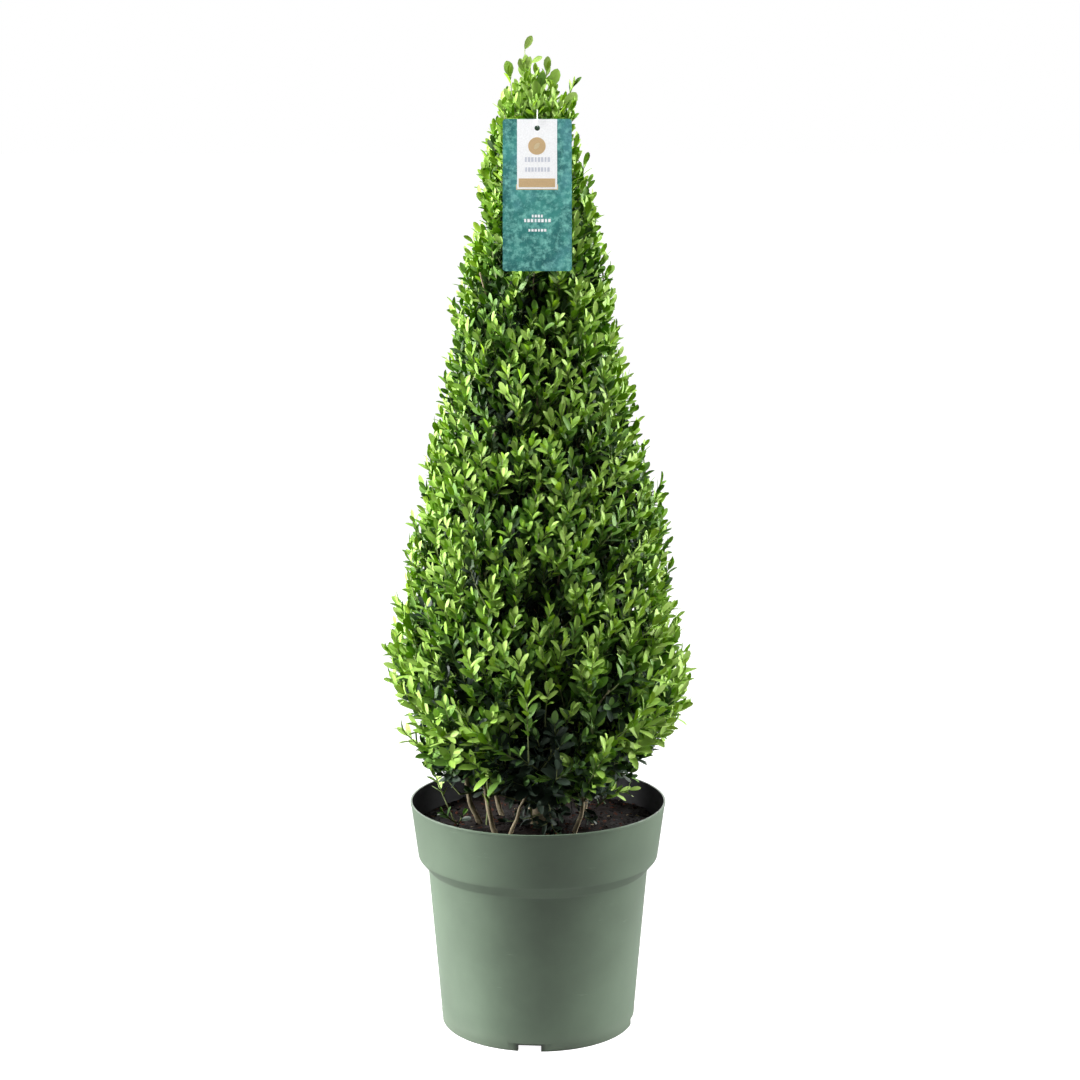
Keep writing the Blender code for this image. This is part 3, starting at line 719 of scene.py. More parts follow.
def make_pot(settings):
    """A thin shell, sage green outside and black inside, on a notched foot."""
    top, wall = settings.height, settings.wall
    lip_z = top - LIP_HEIGHT
    outside = rounded(
        [(FOOT_RADIUS - FOOT_BEVEL, 0.0), (FOOT_RADIUS, FOOT_BEVEL), (outside_radius(STEP_Z, top), STEP_Z),
         (outside_radius(STEP_TOP_Z, top) - STEP_DEPTH, STEP_TOP_Z), (BODY_TOP_RADIUS, BODY_TOP_Z),
         (COLLAR_FOOT_RADIUS, COLLAR_FOOT_Z), (outside_radius(lip_z, top) - 0.0004, lip_z - 0.0006),
         (RIM_RADIUS, lip_z), (RIM_RADIUS, top)],
        [0.0006, 0.0, 0.0, 0.0016, 0.0022, 0.0002, 0.0003])
    lip = rounded([(RIM_RADIUS, top - 0.0010), (RIM_RADIUS, top), (RIM_RADIUS - wall, top),
                   (RIM_RADIUS - wall, top - 0.0012)], [0.0009, 0.0009])
    inside = [(COLLAR_FOOT_RADIUS - wall, COLLAR_FOOT_Z), (BODY_TOP_RADIUS - wall, BODY_TOP_Z),
              (outside_radius(BASE_TOP_Z, top) - wall, BASE_TOP_Z), (0.0, BASE_TOP_Z)]
    foot_inside = FOOT_RADIUS - FOOT_RING_WIDTH
    underneath = [(0.0, BASE_UNDERSIDE_Z), (foot_inside, BASE_UNDERSIDE_Z), (foot_inside, 0.0)]
    # Green as far as the lip's inner edge, black from there on
    profile = underneath + outside[:-1] + lip + inside
    black = len(inside) + 3
    bm = lathe(profile, settings.segments, [0] * (len(profile) - 1 - black) + [1] * black)
    pot = new_object("pot_shell", finish_bmesh("pot_shell", bm),
                     (pot_outside_material(settings.outside), pot_inside_material(settings.inside)))
    for name, (depth, width, height) in (("pockets", POCKET), ("channels", CHANNEL)):
        size = (depth + CUTTER_OVERRUN, width, height + CUTTER_OVERRUN)
        middle = Vector((FOOT_RADIUS - depth + size[0] / 2.0, 0.0, height - size[2] / 2.0))
        turns = [NOTCH_FIRST_AZIMUTH + math.tau * count / NOTCHES for count in range(NOTCHES)]
        places = [Matrix.Rotation(turn, 4, "Z") @ Matrix.Translation(middle) for turn in turns]
        cut(pot, name, places, add_box(size))
    smooth_below(pot.data, 40.0)
    settle(pot, "pot", "pot")


# ------------------------------------------------------------------ the soil

SOIL_RINGS, SOIL_SEGMENTS = 64, 180

# What lies on the soil: name, form, number in a square metre, smallest and
# largest length, then the finish's name, two colours and grain
CRUMB_FORMS = ((1.0, 0.8, 0.6), (1.0, 0.45, 0.22), (1.0, 0.7, 0.4))
CRUMBS = (
    ("peat_crumbs", 0, 17000.0, 0.0012, 0.0036,
     ("peat_crumb", (0.008, 0.005, 0.004), (0.026, 0.014, 0.009), 500.0)),
    ("bark_bits", 1, 5200.0, 0.0030, 0.0090,
     ("bark_bit", (0.060, 0.018, 0.009), (0.150, 0.052, 0.026), 420.0)),
    ("dark_bits", 2, 4200.0, 0.0030, 0.0075,
     ("dark_bit", (0.006, 0.005, 0.005), (0.020, 0.016, 0.014), 420.0)),
    ("pale_bits", 1, 420.0, 0.0030, 0.0065,
     ("pale_bit", (0.300, 0.240, 0.140), (0.420, 0.350, 0.220), 420.0)),
)


def soil_height(x, y):
    """Uneven top of the soil, a little mounded round the stems."""
    spot = Vector((x, y, 0.0))
    mound = 0.0035 * math.exp(-(x * x + y * y) / 0.0030)
    coarse = 0.0024 * noise.noise(spot * 42.0)
    fine = 0.0011 * noise.noise(spot * 160.0 + Vector((3.0, 5.0, 1.0)))
    return SOIL_TOP_Z - 0.0008 + mound + coarse + fine


def soil_shape(edge):
    """The root ball's top and closed foot; the top's own parts come first."""
    segments = SOIL_SEGMENTS
    verts = [(0.0, 0.0, soil_height(0.0, 0.0))]
    for ring in range(1, SOIL_RINGS + 1):
        for step in range(segments):
            spot = polar(math.tau * step / segments, edge * ring / SOIL_RINGS, 0.0)
            verts.append((spot.x, spot.y, soil_height(spot.x, spot.y)))
    for step in range(segments):
        verts.append(tuple(polar(math.tau * step / segments, edge - 0.0022, SOIL_TOP_Z - 0.012)))
    faces = [(0, 1 + step, 1 + (step + 1) % segments) for step in range(segments)]
    for first in range(1, 1 + SOIL_RINGS * segments, segments):
        for step in range(segments):
            after = (step + 1) % segments
            faces.append((first + step, first + segments + step, first + segments + after, first + after))
    foot = 1 + SOIL_RINGS * segments
    faces.append(tuple(range(foot, foot + segments))[::-1])
    return verts, faces


def make_soil(settings):
    """The soil bed, and what lies on it, scattered over its top."""
    verts, faces = soil_shape(outside_radius(SOIL_TOP_Z, settings.height) - settings.wall - 0.0004)
    peat = soil_material("moist_peat", settings.soil, (0.018, 0.010, 0.007), 320.0)
    settle(new_object("soil_bed", plain_mesh("soil_bed", verts, faces), (peat,), 60.0), "soil", "soil")

    top_verts, top_faces = verts[:-SOIL_SEGMENTS], faces[:-SOIL_SEGMENTS - 1]
    forms = [make_crumb("crumb_%d" % index, index, shape) for index, shape in enumerate(CRUMB_FORMS)]
    tree = crumb_tree()
    for order, (name, form, density, smallest, largest, finish) in enumerate(CRUMBS):
        made = new_object(name, plain_mesh(name, top_verts, top_faces))
        grow_nodes(made, tree, {"Density": density, "Seed": settings.crumb_seed + order,
                                "Smallest": smallest, "Largest": largest,
                                "Crumb": forms[form], "Finish": soil_material(*finish)})
        settle(made, "soil")
    for form in forms:
        discard(form)


def make_crumb(name, seed, shape):
    """One broken lump, of unit length, for scattering."""
    bm = bmesh.new()
    bmesh.ops.create_icosphere(bm, subdivisions=1, radius=0.5)
    for vert in bm.verts:
        vert.co *= 1.0 + 0.45 * noise.noise(vert.co * 2.6 + Vector((seed * 7.0, 0.0, 0.0)))
        vert.co = Vector((vert.co.x * shape[0], vert.co.y * shape[1], vert.co.z * shape[2]))
    return new_object(name, finish_bmesh(name, bm), (), 40.0)


def start_tree(name, inputs):
    """A Geometry Nodes tree with named inputs and one geometry output."""
    tree = bpy.data.node_groups.new(name, "GeometryNodeTree")
    tree.interface.new_socket(name="Geometry", in_out="INPUT", socket_type="NodeSocketGeometry")
    for label, kind in inputs:
        tree.interface.new_socket(name=label, in_out="INPUT", socket_type=kind)
    tree.interface.new_socket(name="Geometry", in_out="OUTPUT", socket_type="NodeSocketGeometry")
    return tree, tree.nodes.new("NodeGroupInput"), tree.nodes.new("NodeGroupOutput")


def end_tree(tree, given, result, grown):
    """Make the instances real, give them their finish and hand them out."""
    real = add_node(tree, "GeometryNodeRealizeInstances", {"Geometry": grown.outputs[0]})
    done = add_node(tree, "GeometryNodeSetMaterial",
                    {"Geometry": real.outputs[0], "Material": given.outputs["Finish"]})
    tree.links.new(done.outputs[0], result.inputs[0])


def grow_nodes(made, tree, values):
    """Run a tree on an object and keep the plain mesh that it gives."""
    modifier = made.modifiers.new(tree.name, "NODES")
    modifier.node_group = tree
    for item in tree.interface.items_tree:
        if item.in_out == "INPUT" and item.name in values:
            modifier[item.identifier] = values[item.name]
    bake_modifiers(made)
    if not made.data.polygons:
        raise RuntimeError("%s came out empty" % made.name)
    made.data.materials.clear()
    made.data.materials.append(values["Finish"])


def crumb_tree():
    tree, given, result = start_tree("crumbs_on_soil", (
        ("Density", "NodeSocketFloat"), ("Seed", "NodeSocketInt"), ("Smallest", "NodeSocketFloat"),
        ("Largest", "NodeSocketFloat"), ("Crumb", "NodeSocketObject"), ("Finish", "NodeSocketMaterial")))
    points = add_node(tree, "GeometryNodeDistributePointsOnFaces",
                      {"Mesh": given.outputs["Geometry"], "Density": given.outputs["Density"],
                       "Seed": given.outputs["Seed"]}, distribute_method="RANDOM")
    seed = given.outputs["Seed"]
    turn = add_node(tree, "FunctionNodeRandomValue",
                    {0: (-0.5, -0.5, 0.0), 1: (0.5, 0.5, math.tau), "Seed": seed}, data_type="FLOAT_VECTOR")
    size = add_node(tree, "FunctionNodeRandomValue",
                    {2: given.outputs["Smallest"], 3: given.outputs["Largest"], "Seed": seed},
                    data_type="FLOAT")
    form = add_node(tree, "GeometryNodeObjectInfo", {"Object": given.outputs["Crumb"]})
    placed = add_node(tree, "GeometryNodeInstanceOnPoints",
                      {"Points": points.outputs["Points"], "Instance": form.outputs["Geometry"],
                       "Rotation": turn.outputs[0], "Scale": size.outputs[1]})
    end_tree(tree, given, result, placed)
    return tree


# ----------------------------------------------------------------- the limbs

def stem_centre(height):
    """The main stem's middle at this height: it leans and sways a little."""
    share = (height - SOIL_TOP_Z) / (STEM_TIP_Z - SOIL_TOP_Z)
    straight = blend(STEM_FOOT, STEM_TIP, share)
    sway = Vector((math.sin(9.0 * share), math.cos(7.0 * share)))
    sway = sway * STEM_SWAY * math.sin(math.pi * clamp(share))
    return Vector((straight.x + sway.x, straight.y + sway.y, height))


def stem_radius(height):
    share = ramp(height, SOIL_TOP_Z, STEM_TIP_Z - SOIL_TOP_Z)
    flare = math.exp(-max(height - SOIL_TOP_Z, 0.0) / STEM_FLARE_REACH * 2.5)
    return blend(*STEM_RADII, share) + STEM_FLARE * flare


def curve_points(start, control, end, count):
    """Points along a bend that sets out and ends towards its control point."""
    made = []
    for step in range(count + 1):
        share = step / count
        made.append(blend(blend(start, control, share), blend(control, end, share), share))
    return made


class Outline:
    """Clipped outline of the crown, read off the foliage masses."""

    AROUND = 96
    LOW_Z, HIGH_Z, STEPS = 0.250, 1.072, 138
    SKIRT_STEPS = 13                      # rows below the skirt's widest line
    OUTSIDE = 0.30                        # well clear of the crown
    UNDER_Z = 0.236                       # and well under it

    # How much nearer the middle each side is clipped: heights, then lengths
    LEFT_TRIM = ((0.348, 0.358, 0.370, 0.378, 0.420, 0.520, 0.600,
                  0.660, 0.720, 0.765, 0.800, 0.850, 0.880, 0.910),
                 (0.030, 0.042, 0.036, 0.000, -0.008, -0.006, 0.002,
                  0.007, 0.006, -0.004, 0.001, 0.010, 0.011, 0.000))
    RIGHT_TRIM = ((0.300, 0.318, 0.345, 0.365, 0.460, 0.560, 0.620, 0.650, 0.735, 0.755, 0.840),
                  (0.036, 0.046, 0.016, 0.000, -0.002, -0.005, -0.014, -0.002, 0.008, 0.000, 0.000))

    def __init__(self):
        verts, polys = [], []
        for name in CONE_NODES:
            mesh = frame["nodes"][name].data
            start = len(verts)
            verts.extend(vert.co.copy() for vert in mesh.vertices)
            polys.extend([start + corner for corner in face.vertices] for face in mesh.polygons)
        self.tree = BVHTree.FromPolygons(verts, polys)
        table = np.zeros((self.AROUND, self.STEPS))
        for column in range(self.AROUND):
            azimuth = math.tau * column / self.AROUND
            for row in range(self.STEPS):
                height = blend(self.LOW_Z, self.HIGH_Z, row / (self.STEPS - 1))
                start = polar(azimuth, self.OUTSIDE, height)
                hit = self.tree.ray_cast(start, polar(azimuth, -1.0, 0.0), self.OUTSIDE)
                if hit[0] is not None:
                    table[column, row] = math.hypot(hit[0].x, hit[0].y)
        wide = np.maximum(table, np.maximum(np.roll(table, 1, 1), np.roll(table, -1, 1)))
        wide[:, :self.SKIRT_STEPS] = table[:, :self.SKIRT_STEPS]
        self.table = (wide + np.roll(wide, 1, 0) + np.roll(wide, -1, 0)) / 3.0

    def between(self, column, row, above):
        return blend(self.table[column, row], self.table[column, row + 1], above)

    def radius(self, azimuth, height):
        """How far out the clipped surface is here."""
        column = (azimuth % math.tau) / math.tau * self.AROUND
        row = ramp(height, self.LOW_Z, self.HIGH_Z - self.LOW_Z) * (self.STEPS - 1)
        first, low = int(column) % self.AROUND, min(int(row), self.STEPS - 2)
        aside, above = column - int(column), row - low
        near = self.between(first, low, above)
        far = self.between((first + 1) % self.AROUND, low, above)
        left = np.interp(height, *self.LEFT_TRIM) * max(0.0, -math.cos(azimuth)) ** 3
        right = np.interp(height, *self.RIGHT_TRIM) * max(0.0, math.cos(azimuth)) ** 3
        return float(blend(near, far, aside) - left - right)

    def underside(self, azimuth, distance):
        """How high the foliage starts over this spot, or None."""
        hit = self.tree.ray_cast(polar(azimuth, distance, self.UNDER_Z), UP, 0.25)
        return hit[0].z if hit[0] is not None else None


# Spots on limbs that a shoot chooses from, and how far from it they may be:
# usually, and low down, where the limbs show
NEAREST_LIMBS = 14
LIMB_REACH = 0.065
LOW_LIMB_REACH = 0.036
LOW_SHOOT_Z = 0.262

BOUGH_STEPS = 12
SHOOT_STEPS = 7
TWIG_FOOT, TWIG_TIP = 0.0011, 0.00045
LEAF_PITCH = 0.0038                   # between leaves along a shoot
FIRST_LEAF = 0.0005                   # back from the shoot's tip
LABEL_ROOM = 0.003                    # that leaves keep free on either side
LABEL_BACKING = 0.004                 # that they keep free behind it

Leaf = namedtuple("Leaf", "spot aim face long wide tone form shade")


class Plant:
    """Everything that grows: limbs, twigs and leaves, by one seeded rule."""

    LOWER_RINGS, UPPER_RINGS = 14, 14     # of a basal stem, under and in the crown

    def __init__(self, settings, crown):
        self.dice = random.Random(settings.seed)
        self.leaf_length = settings.leaf
        self.crown = crown
        self.boughs = []
        self.twigs = []
        self.leaves = []
        self.anchors = []
        self.label = label_frame().inverted()

    # ---- limbs

    def add_bough(self, points, first_radius, last_radius):
        self.boughs.append((points, first_radius, last_radius))
        for before, after in zip(points, points[1:]):
            self.anchors.append(after)
            self.anchors.append(blend(before, after, 0.5))

    def grow_boughs(self, count):
        dice = self.dice
        azimuth = dice.uniform(0.0, math.tau)
        for index in range(count):
            share = (index + dice.uniform(0.1, 0.9)) / count
            height = blend(0.262, 0.965, share ** 1.05)
            azimuth += GOLDEN_TURN + dice.uniform(-0.3, 0.3)
            lift = blend(0.25, 1.35, ramp(height, 0.27, 0.16)) * dice.uniform(0.75, 1.25)
            reach = 0.10
            for _ in range(6):
                reach = max(self.crown.radius(azimuth, min(height + lift * reach, 1.0)), 0.012)
            reach *= dice.uniform(0.68, 0.88)
            start = stem_centre(height)
            end = polar(azimuth + dice.uniform(-0.2, 0.2), reach, min(height + lift * reach, 1.01))
            control = start + polar(azimuth, reach * 0.62, lift * reach * 0.28)
            root = min(stem_radius(height) * 0.55, 0.0016 + 0.018 * reach)
            self.add_bough(curve_points(start, control, end, BOUGH_STEPS), root, 0.0009)

    def grow_basal_stems(self):
        """The stems from the soil, carried on up into the crown."""
        dice = self.dice
        made = {}
        for name, (foot_turn, foot_reach, top_turn, top_reach, foot_radius) in BASAL_STEMS.items():
            foot = polar(math.radians(foot_turn), foot_reach, SOIL_TOP_Z - BURIED)
            top = polar(math.radians(top_turn), top_reach, BASAL_TOP_Z)
            outwards = Vector((foot.x + top.x, foot.y + top.y, 0.0)).normalized()
            lower = []
            for ring in range(self.LOWER_RINGS + 1):
                share = ring / self.LOWER_RINGS
                wobble = Vector((noise.noise(Vector((share * 4.0, top_reach * 90.0, 1.0))),
                                 noise.noise(Vector((share * 4.0, top_reach * 90.0, 9.0))), 0.0)) * 0.0022
                lower.append(blend(foot, top, share) + outwards * BASAL_BOW * math.sin(math.pi * share)
                             + wobble * math.sin(math.pi * share))
            azimuth = math.radians(top_turn) + dice.uniform(-0.25, 0.25)
            end_z = dice.uniform(0.46, 0.60)
            end = polar(azimuth, self.crown.radius(azimuth, end_z) * dice.uniform(0.66, 0.80), end_z)
            control = top + (top - lower[-3]).normalized() * 0.10
            upper = curve_points(top, control, end, self.UPPER_RINGS)[1:]
            made[name] = (lower + upper, foot_radius, 0.0010)
            self.anchors.extend(upper)
        return made

    # ---- shoots

    def parent(self, tree, spot):
        """The nearest limb that a shoot at this spot could have grown from."""
        distance_out = math.hypot(spot.x, spot.y)

        def cost(found):
            co, _, distance = found
            above = max(0.0, co.z - spot.z + 0.004)
            outside = max(0.0, math.hypot(co.x, co.y) - distance_out + 0.002)
            return distance + 3.0 * above + 2.0 * outside

        return min(tree.find_n(spot, NEAREST_LIMBS), key=cost)[0]

    def anchor_tree(self):
        tree = KDTree(len(self.anchors))
        for index, spot in enumerate(self.anchors):
            tree.insert(spot, index)
        tree.balance()
        return tree

    def grow_layer(self, sites, share_first):
        """Shoots to these sites, in two rounds, so that later ones branch off."""
        dice = self.dice
        dice.shuffle(sites)
        split = int(len(sites) * share_first)
        for batch in (sites[:split], sites[split:]):
            tree = self.anchor_tree()
            for site in batch:
                self.grow_shoot(tree, *site)

    def grow_shoot(self, tree, tip, aim, reach, tone, leaves, size):
        """One leafy shoot, unless no limb is near enough to carry it."""
        foot = tip - aim * reach
        parent = self.parent(tree, foot)
        if (parent - foot).length > (LIMB_REACH if tip.z > LOW_SHOOT_Z else LOW_LIMB_REACH):
            return
        path = curve_points(parent, tip - aim * reach * 0.6, tip, SHOOT_STEPS)
        self.twigs.append((path, TWIG_FOOT, TWIG_TIP))
        self.anchors.extend((path[2], path[3], path[4]))
        self.dress(path, tone, leaves, size)

    def dress(self, path, tone, count, size, wide=None):
        """Leaves round the end of a shoot, opening away from its tip."""
        dice = self.dice
        spin = dice.uniform(0.0, math.tau)
        lengths = [(after - before).length for before, after in zip(path, path[1:])]
        total = sum(lengths)
        pitch = LEAF_PITCH * size
        for order in range(count):
            back = FIRST_LEAF + order * pitch
            if back > total:
                break
            left = total - back
            for index, piece in enumerate(lengths):
                if left <= piece:
                    break
                left -= piece
            along = (path[index + 1] - path[index]).normalized()
            spot = path[index] + along * left
            young = clamp(1.0 - order / 4.0)
            spin += GOLDEN_TURN + dice.uniform(-0.35, 0.35)
            side = along.orthogonal().normalized()
            side = side * math.cos(spin) + along.cross(side) * math.sin(spin)
            opening = math.radians(blend(46.0, 14.0, young) + dice.uniform(-12.0, 12.0))
            aim = (along * math.cos(opening) + side * math.sin(opening) + UP * 0.12).normalized()
            light = Vector((spot.x, spot.y, 0.0)).normalized() * 0.55 + UP * 0.55
            face = square_to((along + light * dice.uniform(0.1, 0.9)).normalized(), aim)
            long = self.leaf_length * size * blend(1.0, 0.78, young ** 1.5) * dice.uniform(0.80, 1.10)
            own_tone = tone + 0.16 * young - 0.026 * order + dice.uniform(-0.07, 0.07)
            self.add_leaf(spot, aim, face, long, own_tone, wide)

    def add_leaf(self, spot, aim, face, long, tone, wide=None):
        """A leaf, unless it would stand in front of the label or in it."""
        for share in (0.0, 0.5, 1.0):
            local = self.label @ (spot + aim * long * share)
            over = abs(local.x) < LABEL_WIDTH * 0.5 + LABEL_ROOM and abs(local.z) < LABEL_HEIGHT * 0.5
            if over and local.y < LABEL_BACKING:
                return
        wide = wide or self.dice.uniform(0.76, 1.04)
        form, shade = self.dice.randrange(3), self.dice.random()
        self.leaves.append(Leaf(spot, aim, face, long, wide, tone, form, shade))


def label_frame():
    """Where the card's own frame lies: tilted, its middle at the origin."""
    return Matrix.Translation(LABEL_CENTRE) @ Matrix.Rotation(-LABEL_TILT, 4, "X")


def room(height):
    """Share of the usual room that a shoot keeps at this height."""
    return 1.0 + 0.34 * openness(height) - 0.26 * ramp(height, 0.74, 0.10)


MOST_ROOM = 1.35


def scattered(dice, spacing, tries, draw):
    """Spots from draw() that keep at least this far apart."""
    cells = {}
    cell = spacing * MOST_ROOM
    kept = []
    for _ in range(tries):
        found = draw(dice)
        if found is None:
            continue
        spot = found[0]
        key = tuple(int(math.floor(part / cell)) for part in spot)
        near = (other for dx in (-1, 0, 1) for dy in (-1, 0, 1) for dz in (-1, 0, 1)
                for other in cells.get((key[0] + dx, key[1] + dy, key[2] + dz), ()))
        if any((other - spot).length < spacing * room(spot.z) for other in near):
            continue
        cells.setdefault(key, []).append(spot)
        kept.append(found)
    return kept


def openness(height):
    """How open the growth is here: loose at the skirt, close higher up."""
    return ramp(height, 0.53, -0.15)


# Hollows in the front of the crown, set deeper and darkened with painted shade: azimuth, height and size
HOLLOWS = ((266.0, 0.492, 0.026), (281.0, 0.500, 0.024), (279.0, 0.582, 0.022), (247.0, 0.421, 0.032),
           (284.0, 0.440, 0.022), (270.0, 0.345, 0.046), (281.0, 0.305, 0.052), (262.0, 0.300, 0.040))
CROWN_REACH = 0.160                   # the crown's usual radius where they are


def hollow(azimuth, height):
    """How hollow the crown's surface is here, from 0 to 1."""
    spot = Vector((math.cos(azimuth) * 0.13 * 20.0, math.sin(azimuth) * 0.13 * 20.0, height * 15.0))
    field = noise.noise(spot) + 0.55 * noise.noise(spot * 2.2 + Vector((4.0, 1.0, 2.0)))
    front = 0.0
    for turn, middle, size in HOLLOWS:
        off = math.hypot(CROWN_REACH * (azimuth - math.radians(turn)), height - middle)
        front = max(front, clamp(1.8 - 1.6 * off / size))
    return clamp((blend(-0.06, 0.04, openness(height)) - field) / 0.26 + front)


# Layers of shoots, from the inside out: level, spacing against the outermost,
# least and most depth under the clipped outline, share that grows first
LAYERS = ((2, 1.35, 0.042, 0.075, 0.5), (1, 1.15, 0.018, 0.034, 0.5), (0, 1.00, 0.003, 0.012, 0.4))
CROWN_TRIES = 45000
UNDERSIDE_TRIES = 14000
OPEN_FRONT = (math.radians(196.0), math.radians(262.0))     # where the stems show
OPEN_FRONT_Z = 0.275


def crown_sites(plant, spacing, near, far, level):
    """Ends of the shoots of one layer, this far below the clipped outline."""
    crown = plant.crown
    outermost = level == 0

    def draw(dice):
        height = dice.uniform(0.285, 1.010 if outermost else 0.985)
        azimuth = dice.uniform(0.0, math.tau)
        outline = crown.radius(azimuth, height)
        if dice.uniform(0.0, 0.17) > outline:
            return None
        loose = openness(height)
        depth = dice.uniform(near, far)
        if outermost:
            depth += 0.026 * loose * dice.random() ** 2
        depth -= 0.005 * (ramp(height, 0.47, -0.05) + ramp(height, 0.80, 0.04))
        low = hollow(azimuth, height) if outermost else 0.0
        if outermost and dice.random() < blend(0.35 * low, 0.30 + 0.66 * low, loose):
            return None
        depth += 0.034 * low
        radius = outline - depth
        if radius < 0.006:
            return None
        out = polar(azimuth, 1.0, 0.0)
        lift = blend(0.15, 0.95, ramp(height, 0.30, 0.12)) + 0.5 * ramp(height, 0.86, 0.10)
        wild = Vector((dice.gauss(0.0, 1.0), dice.gauss(0.0, 1.0), dice.gauss(0.0, 0.8))) * 0.30
        aim = (out * 0.55 + UP * lift * 1.05 + wild).normalized()
        # Darker for inner layers, partly older leaves and partly painted shade; darker low on the skirt and
        # in the hollows, as painted shade; lighter on the open skirt's right and left, as painted light
        # from the side lamps.
        tone = (0.70, blend(0.36, 0.14, loose), 0.05)[level] + dice.gauss(0.0, 0.13) - 0.55 * low
        tone -= 0.30 * ramp(height, 0.345, -0.03)
        tone += loose * (0.06 + 0.28 * max(0.0, math.cos(azimuth)) + 0.08 * max(0.0, -math.cos(azimuth)))
        leaves = (10 + int(5 * loose), 9, 8)[level]
        reach = dice.uniform(0.030, 0.046) * (1.0 + (0.70 * loose if outermost else 0.0))
        size = dice.uniform(0.92, 1.14) * (1.0 + 0.24 * loose)
        return polar(azimuth, radius, height), aim, reach, tone, leaves, size

    return scattered(plant.dice, spacing, CROWN_TRIES, draw)


def underside_sites(plant, spacing):
    """Shoots among the stems and on the skirt's underside, toned dark as painted shade."""
    crown = plant.crown

    def draw(dice):
        azimuth = dice.uniform(0.0, math.tau)
        distance = math.sqrt(dice.uniform(0.015 ** 2, 0.125 ** 2))
        floor = crown.underside(azimuth, distance)
        if floor is None or floor > 0.40:
            return None
        drop = 0.050 * ramp(distance, 0.085, -0.02)
        height = floor + dice.uniform(-drop, 0.024)
        open_front = OPEN_FRONT[0] < azimuth < OPEN_FRONT[1] and distance > 0.040
        if open_front and height < OPEN_FRONT_Z:
            return None
        out = polar(azimuth, 1.0, 0.0)
        wild = Vector((dice.gauss(0.0, 1.0), dice.gauss(0.0, 1.0), dice.gauss(0.0, 1.0))) * 0.40
        aim = (out * 0.7 + UP * dice.uniform(-0.1, 0.6) + wild).normalized()
        # Darkest near the stems and towards the front middle: painted shade.
        front = clamp(1.0 - abs(azimuth - math.radians(275.0)) / 0.60)
        tone = blend(-0.05, 0.26 - 0.35 * front, ramp(distance, 0.06, 0.06)) + dice.gauss(0.0, 0.10)
        reach, size = dice.uniform(0.026, 0.040), dice.uniform(0.85, 1.05)
        return polar(azimuth, distance, height), aim, reach, tone, 9, size

    return scattered(plant.dice, spacing, UNDERSIDE_TRIES, draw)


# Sprigs placed one by one: foot, tip, tone, leaves and leaf size
TIP_SPRIGS = (
    ((-0.014, 0.000, 1.010), (-0.0136, 0.002, 1.0600), 0.88, 0, 1.00),
    ((-0.012, -0.004, 1.000), (-0.0135, -0.004, 1.0380), 1.02, 6, 1.15),
    ((-0.024, 0.004, 0.990), (-0.0293, 0.002, 1.0320), 0.78, 3, 1.10),
    ((-0.020, -0.010, 0.985), (-0.0210, -0.012, 1.0180), 0.92, 7, 1.10),
    ((0.002, 0.004, 0.985), (0.0094, 0.000, 1.0365), 0.96, 6, 1.10),
    ((0.008, -0.004, 0.980), (0.0141, -0.006, 1.0205), 0.90, 6, 1.15),
    ((0.018, 0.002, 0.975), (0.0361, 0.000, 1.0205), 0.76, 3, 1.00),
    ((0.014, -0.008, 0.970), (0.0277, -0.008, 0.9990), 0.86, 6, 1.10),
    ((0.002, -0.012, 0.975), (0.0006, -0.014, 1.0090), 0.86, 6, 1.15),
    ((-0.008, -0.012, 0.970), (-0.0117, -0.014, 1.0090), 0.90, 6, 1.10),
    ((-0.026, -0.004, 0.962), (-0.0351, -0.004, 0.9900), 0.90, 6, 1.10),
    ((-0.014, -0.014, 0.962), (-0.0181, -0.018, 0.9905), 0.86, 6, 1.10),
    ((-0.002, 0.002, 0.990), (-0.0020, 0.004, 1.0330), 0.76, 9, 1.10),
    ((-0.006, 0.014, 0.975), (-0.0080, 0.018, 1.0250), 0.78, 9, 1.10),
    ((-0.016, 0.012, 0.975), (-0.0220, 0.018, 1.0140), 0.78, 9, 1.10),
    ((0.010, 0.012, 0.975), (0.0160, 0.018, 1.0180), 0.78, 9, 1.10),
    ((0.018, 0.010, 0.965), (0.0290, 0.014, 1.0000), 0.78, 9, 1.10),
    ((0.022, -0.004, 0.960), (0.0330, -0.006, 0.9900), 0.82, 8, 1.10),
)
